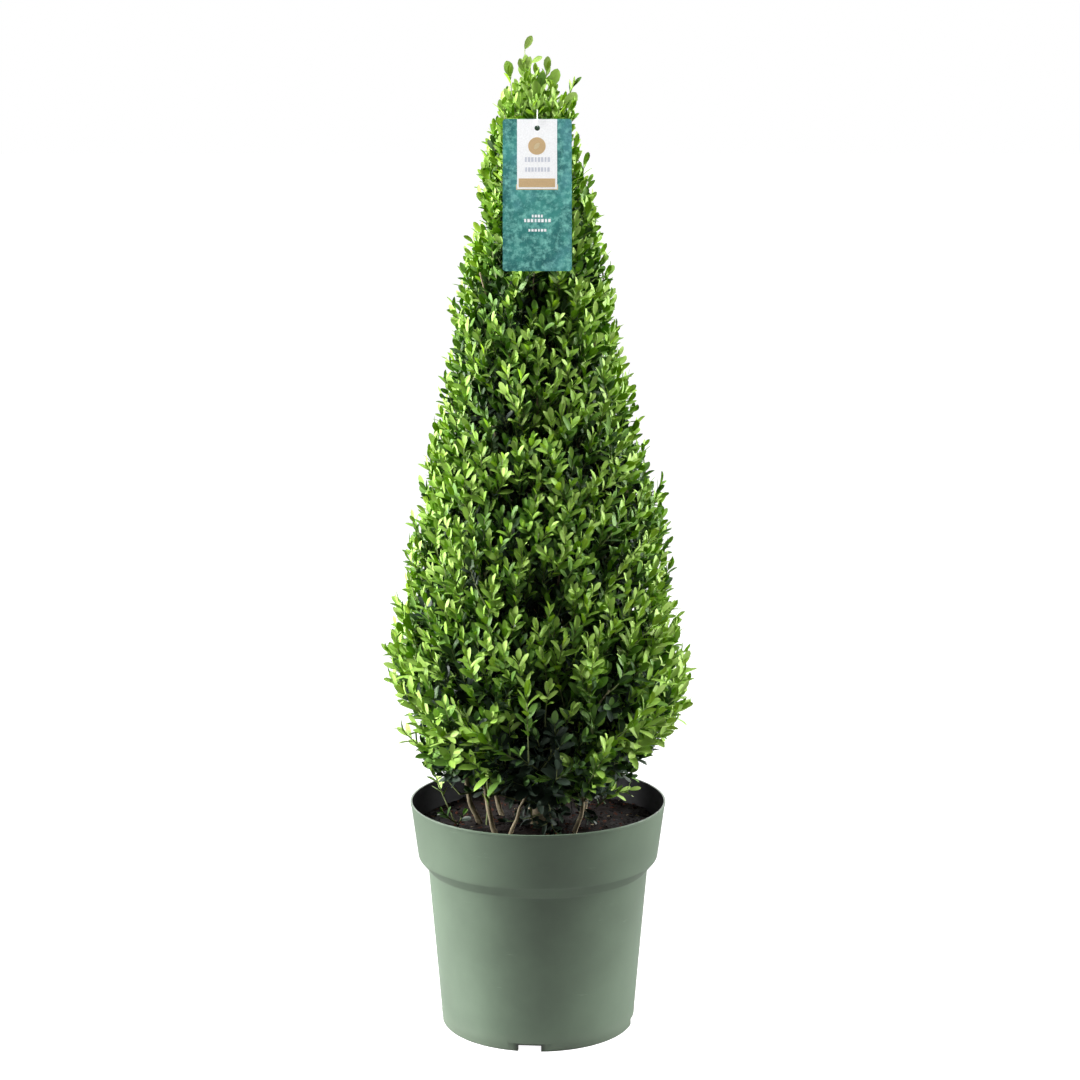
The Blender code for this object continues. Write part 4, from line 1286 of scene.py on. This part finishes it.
# Their high tones are partly painted light, keeping them bright in the skirt's shadow.
LOW_SPRIGS = (
    ((-0.0910, 0.004, 0.2220), (-0.1130, -0.004, 0.2800), 0.92, 8, 1.00),
    ((-0.1000, 0.000, 0.2850), (-0.1480, -0.006, 0.3300), 0.94, 9, 1.22),
    ((-0.0850, -0.020, 0.2620), (-0.1220, -0.030, 0.3120), 0.94, 8, 1.14),
    ((-0.0560, -0.035, 0.2320), (-0.0520, -0.040, 0.2790), 0.95, 6, 1.10),
    ((0.0700, 0.000, 0.2560), (0.1000, -0.012, 0.2650), 0.92, 9, 1.05),
    ((0.0640, -0.010, 0.2450), (0.0840, -0.026, 0.2700), 0.90, 6, 1.20),
    ((0.0500, -0.040, 0.2600), (0.0640, -0.060, 0.2920), 0.94, 5, 1.20),
    ((0.0900, 0.000, 0.2750), (0.1350, 0.004, 0.3220), 0.16, 8, 1.05),
    ((-0.0520, -0.068, 0.2720), (-0.0540, -0.100, 0.3180), 0.95, 7, 1.10),
    ((-0.0260, -0.095, 0.3250), (-0.0290, -0.132, 0.3720), 0.95, 8, 1.10),
    ((-0.0660, -0.085, 0.3180), (-0.0790, -0.112, 0.3600), 0.94, 8, 1.10),
    ((0.0220, -0.105, 0.3400), (0.0360, -0.138, 0.3860), 0.92, 8, 1.05),
    ((0.0400, -0.086, 0.3000), (0.0555, -0.118, 0.3430), 0.95, 7, 1.10),
    ((0.0080, -0.115, 0.3620), (0.0120, -0.148, 0.4120), 0.90, 8, 1.00),
    ((-0.0900, 0.000, 0.2240), (-0.1040, -0.014, 0.2400), 0.30, 5, 0.90),
    ((-0.0880, -0.006, 0.2240), (-0.0800, -0.026, 0.2420), 0.26, 5, 0.90),
)

# Leaves placed one by one: base, tip, tone and width
SINGLE_LEAVES = (
    ((-0.0136, 0.002, 1.0597), (-0.0063, 0.001, 1.0736), 0.80, 1.10),
    ((-0.0063, 0.000, 1.0458), (0.0041, -0.002, 1.0524), 0.86, 1.10),
    ((-0.0140, -0.004, 1.0360), (-0.0190, -0.008, 1.0500), 0.90, 1.20),
    ((-0.0130, -0.004, 1.0365), (-0.0085, -0.009, 1.0515), 0.86, 1.20),
    ((-0.0135, -0.002, 1.0385), (-0.0120, -0.004, 1.0540), 0.82, 1.10),
    ((-0.0293, 0.002, 1.0314), (-0.0324, 0.000, 1.0479), 0.62, 1.45),
    ((0.0094, 0.000, 1.0361), (0.0104, -0.002, 1.0525), 0.92, 1.10),
    ((0.0021, -0.006, 1.0191), (0.0056, -0.009, 1.0361), 0.56, 1.10),
    ((0.0141, -0.006, 1.0204), (0.0202, -0.009, 1.0393), 0.76, 1.30),
    ((0.0361, 0.000, 1.0204), (0.0455, -0.001, 1.0314), 0.45, 0.70),
    ((0.0277, -0.008, 0.9985), (0.0398, -0.010, 1.0150), 0.82, 1.40),
    ((0.0006, -0.014, 1.0088), (-0.0036, -0.018, 1.0273), 0.74, 1.20),
    ((-0.0117, -0.014, 1.0088), (-0.0250, -0.018, 1.0164), 0.84, 0.75),
    ((-0.0351, -0.004, 0.9896), (-0.0400, -0.006, 1.0081), 0.82, 1.10),
    ((-0.0181, -0.018, 0.9900), (-0.0185, -0.022, 1.0040), 0.74, 1.10),
    # A dark leaf just behind the label's hole: painted shade seen through the hole.
    ((-0.0110, -0.0440, 0.9770), (0.0080, -0.0440, 0.9800), -0.50, 1.60),
)


TUFT_SHOOTS = 60


def grow_tuft(plant):
    """The unclipped crop of upright shoots at the very top."""
    dice = plant.dice
    for order in range(TUFT_SHOOTS):
        azimuth = order * GOLDEN_TURN
        share = math.sqrt((order + 0.5) / TUFT_SHOOTS)
        height = blend(1.036, 0.988, share) + dice.uniform(-0.014, 0.006)
        tip = polar(azimuth, 0.027 * share, height) + Vector((blend(-0.006, 0.002, share), 0.0, 0.0))
        foot = polar(azimuth, 0.006 * share, height - 0.045) + Vector((-0.004, 0.0, 0.0))
        path = curve_points(foot, foot + UP * 0.025, tip, SHOOT_STEPS)
        plant.twigs.append((path, 0.0010, 0.0005))
        plant.dress(path[2:], 1.00 + dice.gauss(0.0, 0.10), 8, 1.05, dice.uniform(0.66, 0.95))


def place_leaves(plant):
    """The single leaves, each with its face to the front."""
    for base, tip, tone, wide in SINGLE_LEAVES:
        base, tip = Vector(base), Vector(tip)
        aim = (tip - base).normalized()
        face = Vector((plant.dice.uniform(-0.5, 0.5), -1.0, 0.35))
        plant.add_leaf(base, aim, square_to(face, aim), (tip - base).length, tone, wide)


def grow_sprigs(plant, sprigs):
    """Single sprigs, each on its own shoot from the soil or the nearest limb."""
    tree = plant.anchor_tree()
    for foot, tip, tone, leaves, size in sprigs:
        foot, tip = Vector(foot), Vector(tip)
        parent = plant.parent(tree, foot)
        if foot.z > 0.25 and (parent - foot).length < 0.05:
            plant.twigs.append((curve_points(parent, blend(parent, foot, 0.5), foot, 4), 0.0013, 0.0012))
        bow = (foot + tip) * 0.5 + Vector((0.0, 0.0, -0.002)) + (tip - foot).cross(UP) * 0.08
        path = curve_points(foot, bow, tip, SHOOT_STEPS)
        plant.twigs.append((path, 0.0012, 0.0006))
        plant.dress(path[2:], tone, leaves, size)


def grow_plant(settings):
    """Limbs first, then shoots layer by layer, each with its leaves."""
    plant = Plant(settings, Outline())
    basal = plant.grow_basal_stems()
    plant.grow_boughs(settings.boughs)
    plant.anchors.extend(stem_centre(height / 100.0) for height in range(30, 98, 2))
    for level, apart, near, far, share_first in LAYERS:
        plant.grow_layer(crown_sites(plant, settings.spacing * apart, near, far, level), share_first)
    plant.grow_layer(underside_sites(plant, settings.spacing), 0.5)
    grow_tuft(plant)
    grow_sprigs(plant, TIP_SPRIGS)
    grow_sprigs(plant, LOW_SPRIGS)
    place_leaves(plant)
    make_limbs(plant, basal, settings)
    make_leaves(plant, settings)


# Greens, from the lightest: name, lowest tone and roughness. Tones carry leaf age and also painted shade
# and light, so the deep and shade greens fall mostly inside the crown, in its hollows and under it.
GREENS = (("young", 0.80, 0.46), ("fresh", 0.58, 0.40), ("mature", 0.38, 0.36),
          ("deep", 0.20, 0.36), ("shade", -9.0, 0.42))
TOP_TONE = 9.0
MOST_LEAVES = 10800                   # in one piece

# Leaf forms: name, fold along the midrib, bend of the tip, and ripple
LEAF_FORMS = (("flat", 0.16, 0.04, 0.00), ("folded", 0.42, 0.10, 0.00), ("curled", 0.22, 0.20, 0.012))
LEAF_STATIONS = ((0.00, 0.028), (0.20, 0.140), (0.46, 0.218), (0.74, 0.205), (0.92, 0.110))
LEAF_HALF = 0.218


def leaf_form(name, fold, bend, ripple):
    """One blunt oval leaf, a unit long: base at the origin, face up."""
    verts, maps, faces = [], [], []
    for along, half in LEAF_STATIONS:
        droop = -bend * along * along + 0.04 * along
        wave = ripple * math.sin(along * 9.0)
        for side in (-1.0, 0.0, 1.0):
            verts.append((along, side * half, droop + (fold * half + side * wave if side else 0.0)))
            maps.append((along, 0.5 + 0.5 * side * half / LEAF_HALF))
    verts.append((1.0, 0.0, -bend + 0.04))
    maps.append((1.0, 0.5))
    last = (len(LEAF_STATIONS) - 1) * 3
    for first in range(0, last, 3):
        faces.append((first + 1, first + 4, first + 3, first))
        faces.append((first + 2, first + 5, first + 4, first + 1))
    tip = len(verts) - 1
    faces.append((last + 1, tip, last))
    faces.append((last + 2, tip, last + 1))
    mesh = plain_mesh(name, verts, faces)
    layer = mesh.uv_layers.new(name="leaf_map")
    for loop in mesh.loops:
        layer.data[loop.index].uv = maps[loop.vertex_index]
    mesh.shade_smooth()
    return new_object(name, mesh)


def leaf_tree():
    """Leaves of three forms on points that carry a turn, a size and a form."""
    labels = ["Leaf " + name.capitalize() for name, *_ in LEAF_FORMS]
    tree, given, result = start_tree("leaves_on_shoots", (
        *((label, "NodeSocketObject") for label in labels),
        ("Size", "NodeSocketFloat"), ("Finish", "NodeSocketMaterial")))
    turn = add_node(tree, "GeometryNodeInputNamedAttribute", {"Name": "turn"}, data_type="QUATERNION")
    size = add_node(tree, "GeometryNodeInputNamedAttribute", {"Name": "size"}, data_type="FLOAT_VECTOR")
    form = add_node(tree, "GeometryNodeInputNamedAttribute", {"Name": "form"}, data_type="INT")
    scaled = add_node(tree, "ShaderNodeVectorMath",
                      {"Vector": size.outputs[0], "Scale": given.outputs["Size"]}, operation="SCALE")
    joined = tree.nodes.new("GeometryNodeJoinGeometry")
    for order, label in enumerate(labels):
        chosen = add_node(tree, "FunctionNodeCompare", {2: form.outputs[0], 3: order},
                          data_type="INT", operation="EQUAL")
        leaf = add_node(tree, "GeometryNodeObjectInfo", {"Object": given.outputs[label]})
        placed = add_node(tree, "GeometryNodeInstanceOnPoints",
                          {"Points": given.outputs["Geometry"], "Selection": chosen.outputs[0],
                           "Instance": leaf.outputs["Geometry"], "Rotation": turn.outputs[0],
                           "Scale": scaled.outputs[0]})
        tree.links.new(placed.outputs[0], joined.inputs[0])
    end_tree(tree, given, result, joined)
    return tree, labels


def quaternions(aims, faces):
    """Turns that lay +X along each aim and +Z along each face, as w, x, y, z."""
    across = np.cross(faces, aims)
    m = np.stack([aims, across, faces], axis=2)
    signs = ((1, 1, 1), (1, -1, -1), (-1, 1, -1), (-1, -1, 1))
    w, x, y, z = (np.sqrt(np.maximum(0.0, 1.0 + a * m[:, 0, 0] + b * m[:, 1, 1] + c * m[:, 2, 2])) / 2.0
                  for a, b, c in signs)
    x = np.copysign(x, m[:, 2, 1] - m[:, 1, 2])
    y = np.copysign(y, m[:, 0, 2] - m[:, 2, 0])
    z = np.copysign(z, m[:, 1, 0] - m[:, 0, 1])
    return np.stack([w, x, y, z], axis=1)


def point_cloud(name, leaves):
    """A point for each leaf, with what the tree needs to place it."""
    mesh = bpy.data.meshes.new(name)
    mesh.vertices.add(len(leaves))
    mesh.vertices.foreach_set("co", np.array([leaf.spot[:] for leaf in leaves]).ravel())
    turns = quaternions(np.array([leaf.aim[:] for leaf in leaves]),
                        np.array([leaf.face[:] for leaf in leaves]))
    sizes = np.array([(leaf.long, leaf.long * leaf.wide, leaf.long) for leaf in leaves])
    for label, kind, field, values in (
            ("turn", "QUATERNION", "value", turns), ("size", "FLOAT_VECTOR", "vector", sizes),
            ("form", "INT", "value", np.array([leaf.form for leaf in leaves])),
            ("shade", "FLOAT", "value", np.array([leaf.shade for leaf in leaves]))):
        layer = mesh.attributes.new(label, kind, "POINT")
        layer.data.foreach_set(field, values.ravel())
    return mesh


def make_leaves(plant, settings):
    """The leaves, dealt out by tone and grown in pieces of a handy size."""
    group = leaf_marks_group()
    forms = [leaf_form("leaf_" + name, *shape) for name, *shape in LEAF_FORMS]
    tree, labels = leaf_tree()
    upper = TOP_TONE
    for green, lowest, roughness in GREENS:
        dealt = [leaf for leaf in plant.leaves if lowest <= leaf.tone < upper]
        upper = lowest
        finish = leaf_material("leaf_" + green, group, getattr(settings, green), roughness)
        parts = max(1, math.ceil(len(dealt) / MOST_LEAVES))
        for part in range(parts):
            name = "leaves_%s_%d" % (green, part + 1)
            made = new_object(name, point_cloud(name, dealt[part::parts]))
            grow_nodes(made, tree, {**dict(zip(labels, forms)), "Size": 1.0, "Finish": finish})
            settle(made, "foliage", *FOLIAGE_NODES)
    for form in forms:
        discard(form)


STEM_RINGS = 190


def tapered(points, first, last, power, *sides_and_relief):
    """A tube that thins from its first radius to its last."""
    count = len(points) - 1
    radii = [blend(first, last, (step / count) ** power) for step in range(count + 1)]
    return tube(points, radii, *sides_and_relief)


def make_limb(name, shape, finish, angle, *stands_for):
    settle(new_object(name, plain_mesh(name, *shape), (finish,), angle), "bark", *stands_for)


def make_limbs(plant, basal, settings):
    """Bark-covered main stem, basal stems and boughs, and the young twigs."""
    group = grain_group()
    bark = bark_material("holly_bark", group, settings.bark, 2.1, 0.82, 230.0)
    shoot = bark_material("young_shoot", group, settings.twig, 1.7, 0.62, 420.0)

    heights = [blend(SOIL_TOP_Z - BURIED, STEM_TIP_Z + 0.020, (ring / STEM_RINGS) ** 1.15)
               for ring in range(STEM_RINGS + 1)]
    stem = tube([stem_centre(height) for height in heights], [stem_radius(height) for height in heights],
                16, 0.10, 60.0, 0.14)
    make_limb("stem_bark", stem, bark, 50.0, "main_stem")
    for name, limb in basal.items():
        make_limb("basal_bark_" + name, tapered(*limb, 0.8, 10, 0.12, 110.0, 0.10), bark, 50.0,
                  "basal_stem_" + name)

    boughs, twigs = Joined(), Joined()
    for bough in plant.boughs:
        boughs.add(*tapered(*bough, 0.7, 6, 0.10, 90.0))
    make_limb("boughs", (boughs.verts, boughs.faces), bark, 60.0)
    for twig in plant.twigs:
        twigs.add(*tapered(*twig, 1.0, 3))
    make_limb("twigs", (twigs.verts, twigs.faces), shoot, 80.0, "low_shoot_left", "low_shoot_right")


# ----------------------------------------------------------------- the label

def circle(centre, radius, count):
    turns = [math.tau * step / count for step in range(count)]
    return [centre + radius * Vector((math.cos(turn), 0.0, math.sin(turn))) for turn in turns]


def rectangle(width, low, high, aside):
    """Corners in the card's frame, from the top right, a little to the left."""
    return [Vector((side * width / 2.0 - aside, 0.0, height))
            for side, height in ((1, high), (-1, high), (-1, low), (1, low))]


def leaf_mark(centre):
    """Outline of a plain pointed leaf that leans to the right."""
    over, up = 0.64, 0.77
    shares = [(step / 12, 1.0) for step in range(13)] + [(1.0 - step / 12, -1.0) for step in range(1, 12)]
    points = []
    for share, side in shares:
        half = MARK_WIDTH / 2.0 * math.sin(math.pi * share) ** 0.8 * side
        points.append(centre + Vector((MARK_LENGTH * (share - 0.5) * over - half * up, 0.0,
                                       MARK_LENGTH * (share - 0.5) * up + half * over)))
    return points[::-1]


def card_outline(width, height, corner, steps=6):
    points = []
    for index, (side, end) in enumerate(((1, 1), (-1, 1), (-1, -1), (1, -1))):
        centre = Vector((side * (width / 2.0 - corner), 0.0, end * (height / 2.0 - corner)))
        for step in range(steps + 1):
            turn = math.radians(90.0 * (index + step / steps))
            points.append(centre + corner * Vector((math.cos(turn), 0.0, math.sin(turn))))
    return points


def plate(name, outline, front, thickness, bevel, matrix, finish):
    """A thin plate in the card's frame, its front face at y = front."""
    bm = bmesh.new()
    near = [bm.verts.new(spot + Vector((0.0, front, 0.0))) for spot in outline]
    far = [bm.verts.new(spot + Vector((0.0, front + thickness, 0.0))) for spot in outline]
    bm.faces.new(near)
    bm.faces.new(far[::-1])
    for step in range(len(outline)):
        after = (step + 1) % len(outline)
        bm.faces.new((near[after], near[step], far[step], far[after]))
    if bevel:
        rims = [edge for edge in bm.edges if len({round(vert.co.y, 7) for vert in edge.verts}) == 1]
        bmesh.ops.bevel(bm, geom=rims, offset=bevel, segments=2, affect="EDGES")
    bmesh.ops.transform(bm, matrix=matrix, verts=bm.verts[:])
    return new_object(name, finish_bmesh(name, bm), (finish,), 30.0)


def dashes(name, rows, front, matrix, finish):
    """Rows of plain printed dashes, every third one shorter."""
    bm = bmesh.new()
    for height, width, tall in rows:
        count = max(3, round(width / DASH_PITCH))
        pitch = width / count
        for index in range(count):
            middle = Vector((-width / 2.0 + (index + 0.5) * pitch, front + 0.00005, height))
            size = (pitch * (0.72 if index % 3 else 0.55), 0.0001, tall)
            add_box(size)(bm, matrix @ Matrix.Translation(middle))
    return new_object(name, finish_bmesh(name, bm), (finish,), 30.0)


def add_hole(bm, matrix):
    bmesh.ops.create_cone(bm, cap_ends=True, segments=40, radius1=LABEL_HOLE_RADIUS,
                          radius2=LABEL_HOLE_RADIUS, depth=0.01, matrix=matrix)


def make_label(settings):
    """A printed card: teal ground, white panel, gold disc, band and border."""
    matrix = label_frame()
    card = card_material(settings.ground, settings.wash)
    white = print_material("card_white_print", (0.96, 0.97, 0.98), 0.0, 0.40, 700.0)
    gold = print_material("card_gold_print", settings.gold, 0.35, 0.36, 900.0)
    pale_gold = print_material("card_pale_gold", (0.84, 0.68, 0.42), 0.35, 0.34, 900.0)
    grey = print_material("card_grey_print", (0.62, 0.64, 0.72), 0.0, 0.42, 700.0)
    front = -LABEL_THICKNESS / 2.0
    top = LABEL_HEIGHT / 2.0
    hole = Vector((0.0, 0.0, top - LABEL_HOLE_DROP))
    disc_centre = hole + Vector((-BAND_ASIDE, 0.0, -DISC_DROP))
    panel_top = top - PANEL_DROP

    def printed(name, outline, lift, thickness, finish, bevel=0.0):
        return plate(name, outline, front - lift, thickness, bevel, matrix, finish)

    body = printed("label_print", card_outline(LABEL_WIDTH, LABEL_HEIGHT, LABEL_CORNER), 0.0,
                   LABEL_THICKNESS, card, 0.00012)
    panel = printed("label_panel", rectangle(PANEL_WIDTH, PANEL_LOW, panel_top, PANEL_DROP),
                    0.00010, 0.00014, white)
    through = matrix @ Matrix.Translation(hole) @ Matrix.Rotation(math.pi / 2.0, 4, "X")
    for piece in (body, panel):
        cut(piece, "label_hole", [through], add_hole)
        smooth_below(piece.data, 30.0)
    settle(body, "label", "label_card")
    settle(panel, "label")
    band = rectangle(BAND_WIDTH, PANEL_LOW + BAND_LOW, PANEL_LOW + BAND_HIGH, BAND_ASIDE)
    border = rectangle(PANEL_WIDTH + 2.0 * BORDER_WIDTH, PANEL_LOW - BORDER_WIDTH,
                       panel_top - BORDER_DROP, PANEL_DROP)
    for piece in (
            printed("label_band", band, 0.00018, 0.00010, gold),
            printed("label_disc", circle(disc_centre, DISC_RADIUS, 64), 0.00018, 0.00010, gold, 0.00003),
            printed("label_leaf_mark", leaf_mark(disc_centre), 0.00024, 0.00008, pale_gold),
            printed("label_border", border, 0.00005, 0.00008, pale_gold),
            dashes("label_grey_rows", GREY_ROWS, front - 0.00018, matrix, grey),
            dashes("label_white_rows", WHITE_ROWS, front - 0.00008, matrix, white)):
        settle(piece, "label")
    make_tie(matrix, top)


def make_tie(matrix, top):
    """Clear thin loop through the card's hole, up to a shoot behind it."""
    clear, tree, shader = start_material("clear_tie_plastic", (0.66, 0.69, 0.66), 0.22)
    cloud = object_noise(tree, 300.0, 2.0)
    tree.links.new(spread(tree, cloud, 0.3, 0.7, 0.16, 0.30), shader.inputs["Roughness"])

    # The line that the loop's two sides follow, and which way is out from it
    start = top - LABEL_HOLE_DROP + LABEL_HOLE_RADIUS - TIE_RADIUS - TIE_GAP + TIE_HALF
    bend = top + 0.0020
    line = [matrix @ Vector((0.0, 0.0, start)), matrix @ Vector((0.0, 0.0, bend))]
    line += curve_points(line[1], matrix @ Vector((0.0, 0.0, bend + 0.0060)), TIE_END, 16)[1:]
    aside = Vector((1.0, 0.0, 0.0))
    facing = []
    for index in range(len(line)):
        before, after = line[max(index - 1, 0)], line[min(index + 1, len(line) - 1)]
        facing.append((after - before).normalized().cross(aside))

    # Up one side, round the far end, down the other and round the near end
    loop = [spot + out * TIE_HALF for spot, out in zip(line[1:-1], facing[1:-1])]
    for place, out, sign in ((line[-1], facing[-1], 1.0), (line[0], facing[0], -1.0)):
        along = aside.cross(out) * sign
        for step in range(17):
            turn = math.pi * step / 16
            loop.append(place + (out * sign * math.cos(turn) + along * math.sin(turn)) * TIE_HALF)
        if sign > 0:
            loop += [spot - out * TIE_HALF for spot, out in zip(line[-2:0:-1], facing[-2:0:-1])]

    bm = bmesh.new()
    rings = []
    sides = 10
    for index, spot in enumerate(loop):
        out = (loop[(index + 1) % len(loop)] - loop[index - 1]).normalized().cross(aside)
        rings.append([bm.verts.new(spot + (out * math.cos(math.tau * side / sides)
                                           + aside * math.sin(math.tau * side / sides)) * TIE_RADIUS)
                      for side in range(sides)])
    for near, far in zip(rings, rings[1:] + rings[:1]):
        for side in range(sides):
            beside = (side + 1) % sides
            bm.faces.new((near[side], near[beside], far[beside], far[side]))
    settle(new_object("label_loop", finish_bmesh("label_loop", bm), (clear,), 60.0), "tie", "label_tie")


# ----------------------------------------------------------------- the stage

WHITE = (1.0, 1.0, 1.0, 1.0)


def make_floor(settings):
    """A floor that shows white, and is grey where it throws light back."""
    finish, tree, shader = start_material("studio_floor", (0.52, 0.52, 0.52), 0.85)
    far = spread(tree, reach_of(tree, object_place(tree)), 0.20, 0.62)
    toned = mix_colours(tree, far, (0.44, 0.44, 0.44, 1.0), (0.12, 0.12, 0.12, 1.0))
    tree.links.new(toned, shader.inputs["Base Color"])
    shader.inputs["Emission Color"].default_value = WHITE
    seen = add_node(tree, "ShaderNodeLightPath").outputs["Is Camera Ray"]
    tree.links.new(times(tree, seen, settings.floor_glow), shader.inputs["Emission Strength"])
    corners = [(x * FLOOR_REACH, y * FLOOR_REACH, 0.0) for x, y in ((-1, -1), (1, -1), (1, 1), (-1, 1))]
    new_object("studio_floor", plain_mesh("studio_floor", corners, [(0, 1, 2, 3)]), (finish,))


def make_world(settings):
    """White to the camera, dim all round, and bright behind in reflections."""
    world = bpy.data.worlds.new("studio_light")
    world.use_nodes = True
    bpy.context.scene.world = world
    tree = world.node_tree
    dim = tree.nodes["Background"]
    dim.inputs["Color"].default_value = WHITE
    shown = add_node(tree, "ShaderNodeBackground", {"Color": WHITE, "Strength": 1.0})
    path = add_node(tree, "ShaderNodeLightPath")
    place = add_node(tree, "ShaderNodeTexCoord").outputs["Generated"]
    behind = add_node(tree, "ShaderNodeSeparateXYZ", {"Vector": place}).outputs[1]
    backdrop = times(tree, spread(tree, behind, 0.0, 0.7), path.outputs["Is Glossy Ray"])
    tree.links.new(maths(tree, "MULTIPLY_ADD", backdrop, settings.backdrop, settings.ambient),
                   dim.inputs["Strength"])
    mixed = add_node(tree, "ShaderNodeMixShader",
                     {0: path.outputs["Is Camera Ray"], 1: dim.outputs[0], 2: shown.outputs[0]})
    tree.links.new(mixed.outputs[0], tree.nodes["World Output"].inputs[0])


def make_stage(settings):
    """The floor, the light all round, four softboxes and the camera."""
    make_floor(settings)
    make_world(settings)
    scene = bpy.context.scene
    scene.view_settings.view_transform = "Standard"
    for side, (name, spot, size, aim) in LIGHTS.items():
        lamp = bpy.data.lights.new(name, "AREA")
        lamp.shape = "RECTANGLE"
        lamp.size, lamp.size_y = size
        lamp.energy = getattr(settings, side)
        made = bpy.data.objects.new(name, lamp)
        made.location = spot
        made.rotation_euler = (Vector(aim) - Vector(spot)).to_track_quat("-Z", "Y").to_euler()
        made.visible_camera = False
        scene.collection.objects.link(made)

    camera = bpy.data.cameras.new("camera")
    camera.sensor_width = 36.0
    camera.lens = CAMERA_LENS
    camera.clip_start, camera.clip_end = 0.1, 200.0
    made = bpy.data.objects.new("camera", camera)
    made.location = CAMERA_PLACE
    made.rotation_euler = (math.radians(90.0) - CAMERA_DIP, 0.0, 0.0)
    scene.collection.objects.link(made)
    scene.camera = made


# ----------------------------------------------------------------- operators

class HOLLY_OT_pot(Operator):
    """Model the nursery pot"""

    bl_idname = "holly.pot"
    bl_label = "Pot"
    bl_options = {"REGISTER", "UNDO"}

    def execute(self, context):
        make_pot(context.scene.holly_pot)
        return {"FINISHED"}


class HOLLY_OT_soil(Operator):
    """Model the soil bed and scatter its crumbs"""

    bl_idname = "holly.soil"
    bl_label = "Soil"
    bl_options = {"REGISTER", "UNDO"}

    def execute(self, context):
        make_soil(context.scene.holly_pot)
        return {"FINISHED"}


class HOLLY_OT_plant(Operator):
    """Grow the stems, boughs, twigs and leaves by one seeded rule"""

    bl_idname = "holly.plant"
    bl_label = "Plant"
    bl_options = {"REGISTER", "UNDO"}

    def execute(self, context):
        grow_plant(context.scene.holly_plant)
        return {"FINISHED"}


class HOLLY_OT_label(Operator):
    """Model the hang label and its tie"""

    bl_idname = "holly.label"
    bl_label = "Label"
    bl_options = {"REGISTER", "UNDO"}

    def execute(self, context):
        make_label(context.scene.holly_label)
        return {"FINISHED"}


class HOLLY_OT_stage(Operator):
    """Set the floor, the lights and the camera"""

    bl_idname = "holly.stage"
    bl_label = "Stage"
    bl_options = {"REGISTER", "UNDO"}

    def execute(self, context):
        make_stage(context.scene.holly_stage)
        return {"FINISHED"}


OPERATORS = (HOLLY_OT_pot, HOLLY_OT_soil, HOLLY_OT_plant, HOLLY_OT_label, HOLLY_OT_stage)
SETTINGS = {"holly_pot": HollyPotSettings, "holly_plant": HollyPlantSettings,
            "holly_label": HollyLabelSettings, "holly_stage": HollyStageSettings}


class HOLLY_PT_sidebar(Panel):
    """Lists what the add-on builds"""

    bl_label = "Holly Cone"
    bl_idname = "HOLLY_PT_sidebar"
    bl_space_type = "VIEW_3D"
    bl_region_type = "UI"
    bl_category = "Holly Cone"

    def draw(self, context):
        for made in OPERATORS:
            self.layout.operator(made.bl_idname)


def register():
    for made in (*SETTINGS.values(), *OPERATORS, HOLLY_PT_sidebar):
        bpy.utils.register_class(made)
    for name, kind in SETTINGS.items():
        setattr(bpy.types.Scene, name, PointerProperty(type=kind))


def unregister():
    for name in SETTINGS:
        delattr(bpy.types.Scene, name)
    for made in (HOLLY_PT_sidebar, *reversed(OPERATORS), *SETTINGS.values()):
        bpy.utils.unregister_class(made)


def main():
    register()
    bpy.ops.holly.pot()
    bpy.ops.holly.soil()
    bpy.ops.holly.plant()
    bpy.ops.holly.label()
    bpy.ops.holly.stage()


if __name__ == "__main__":
    main()
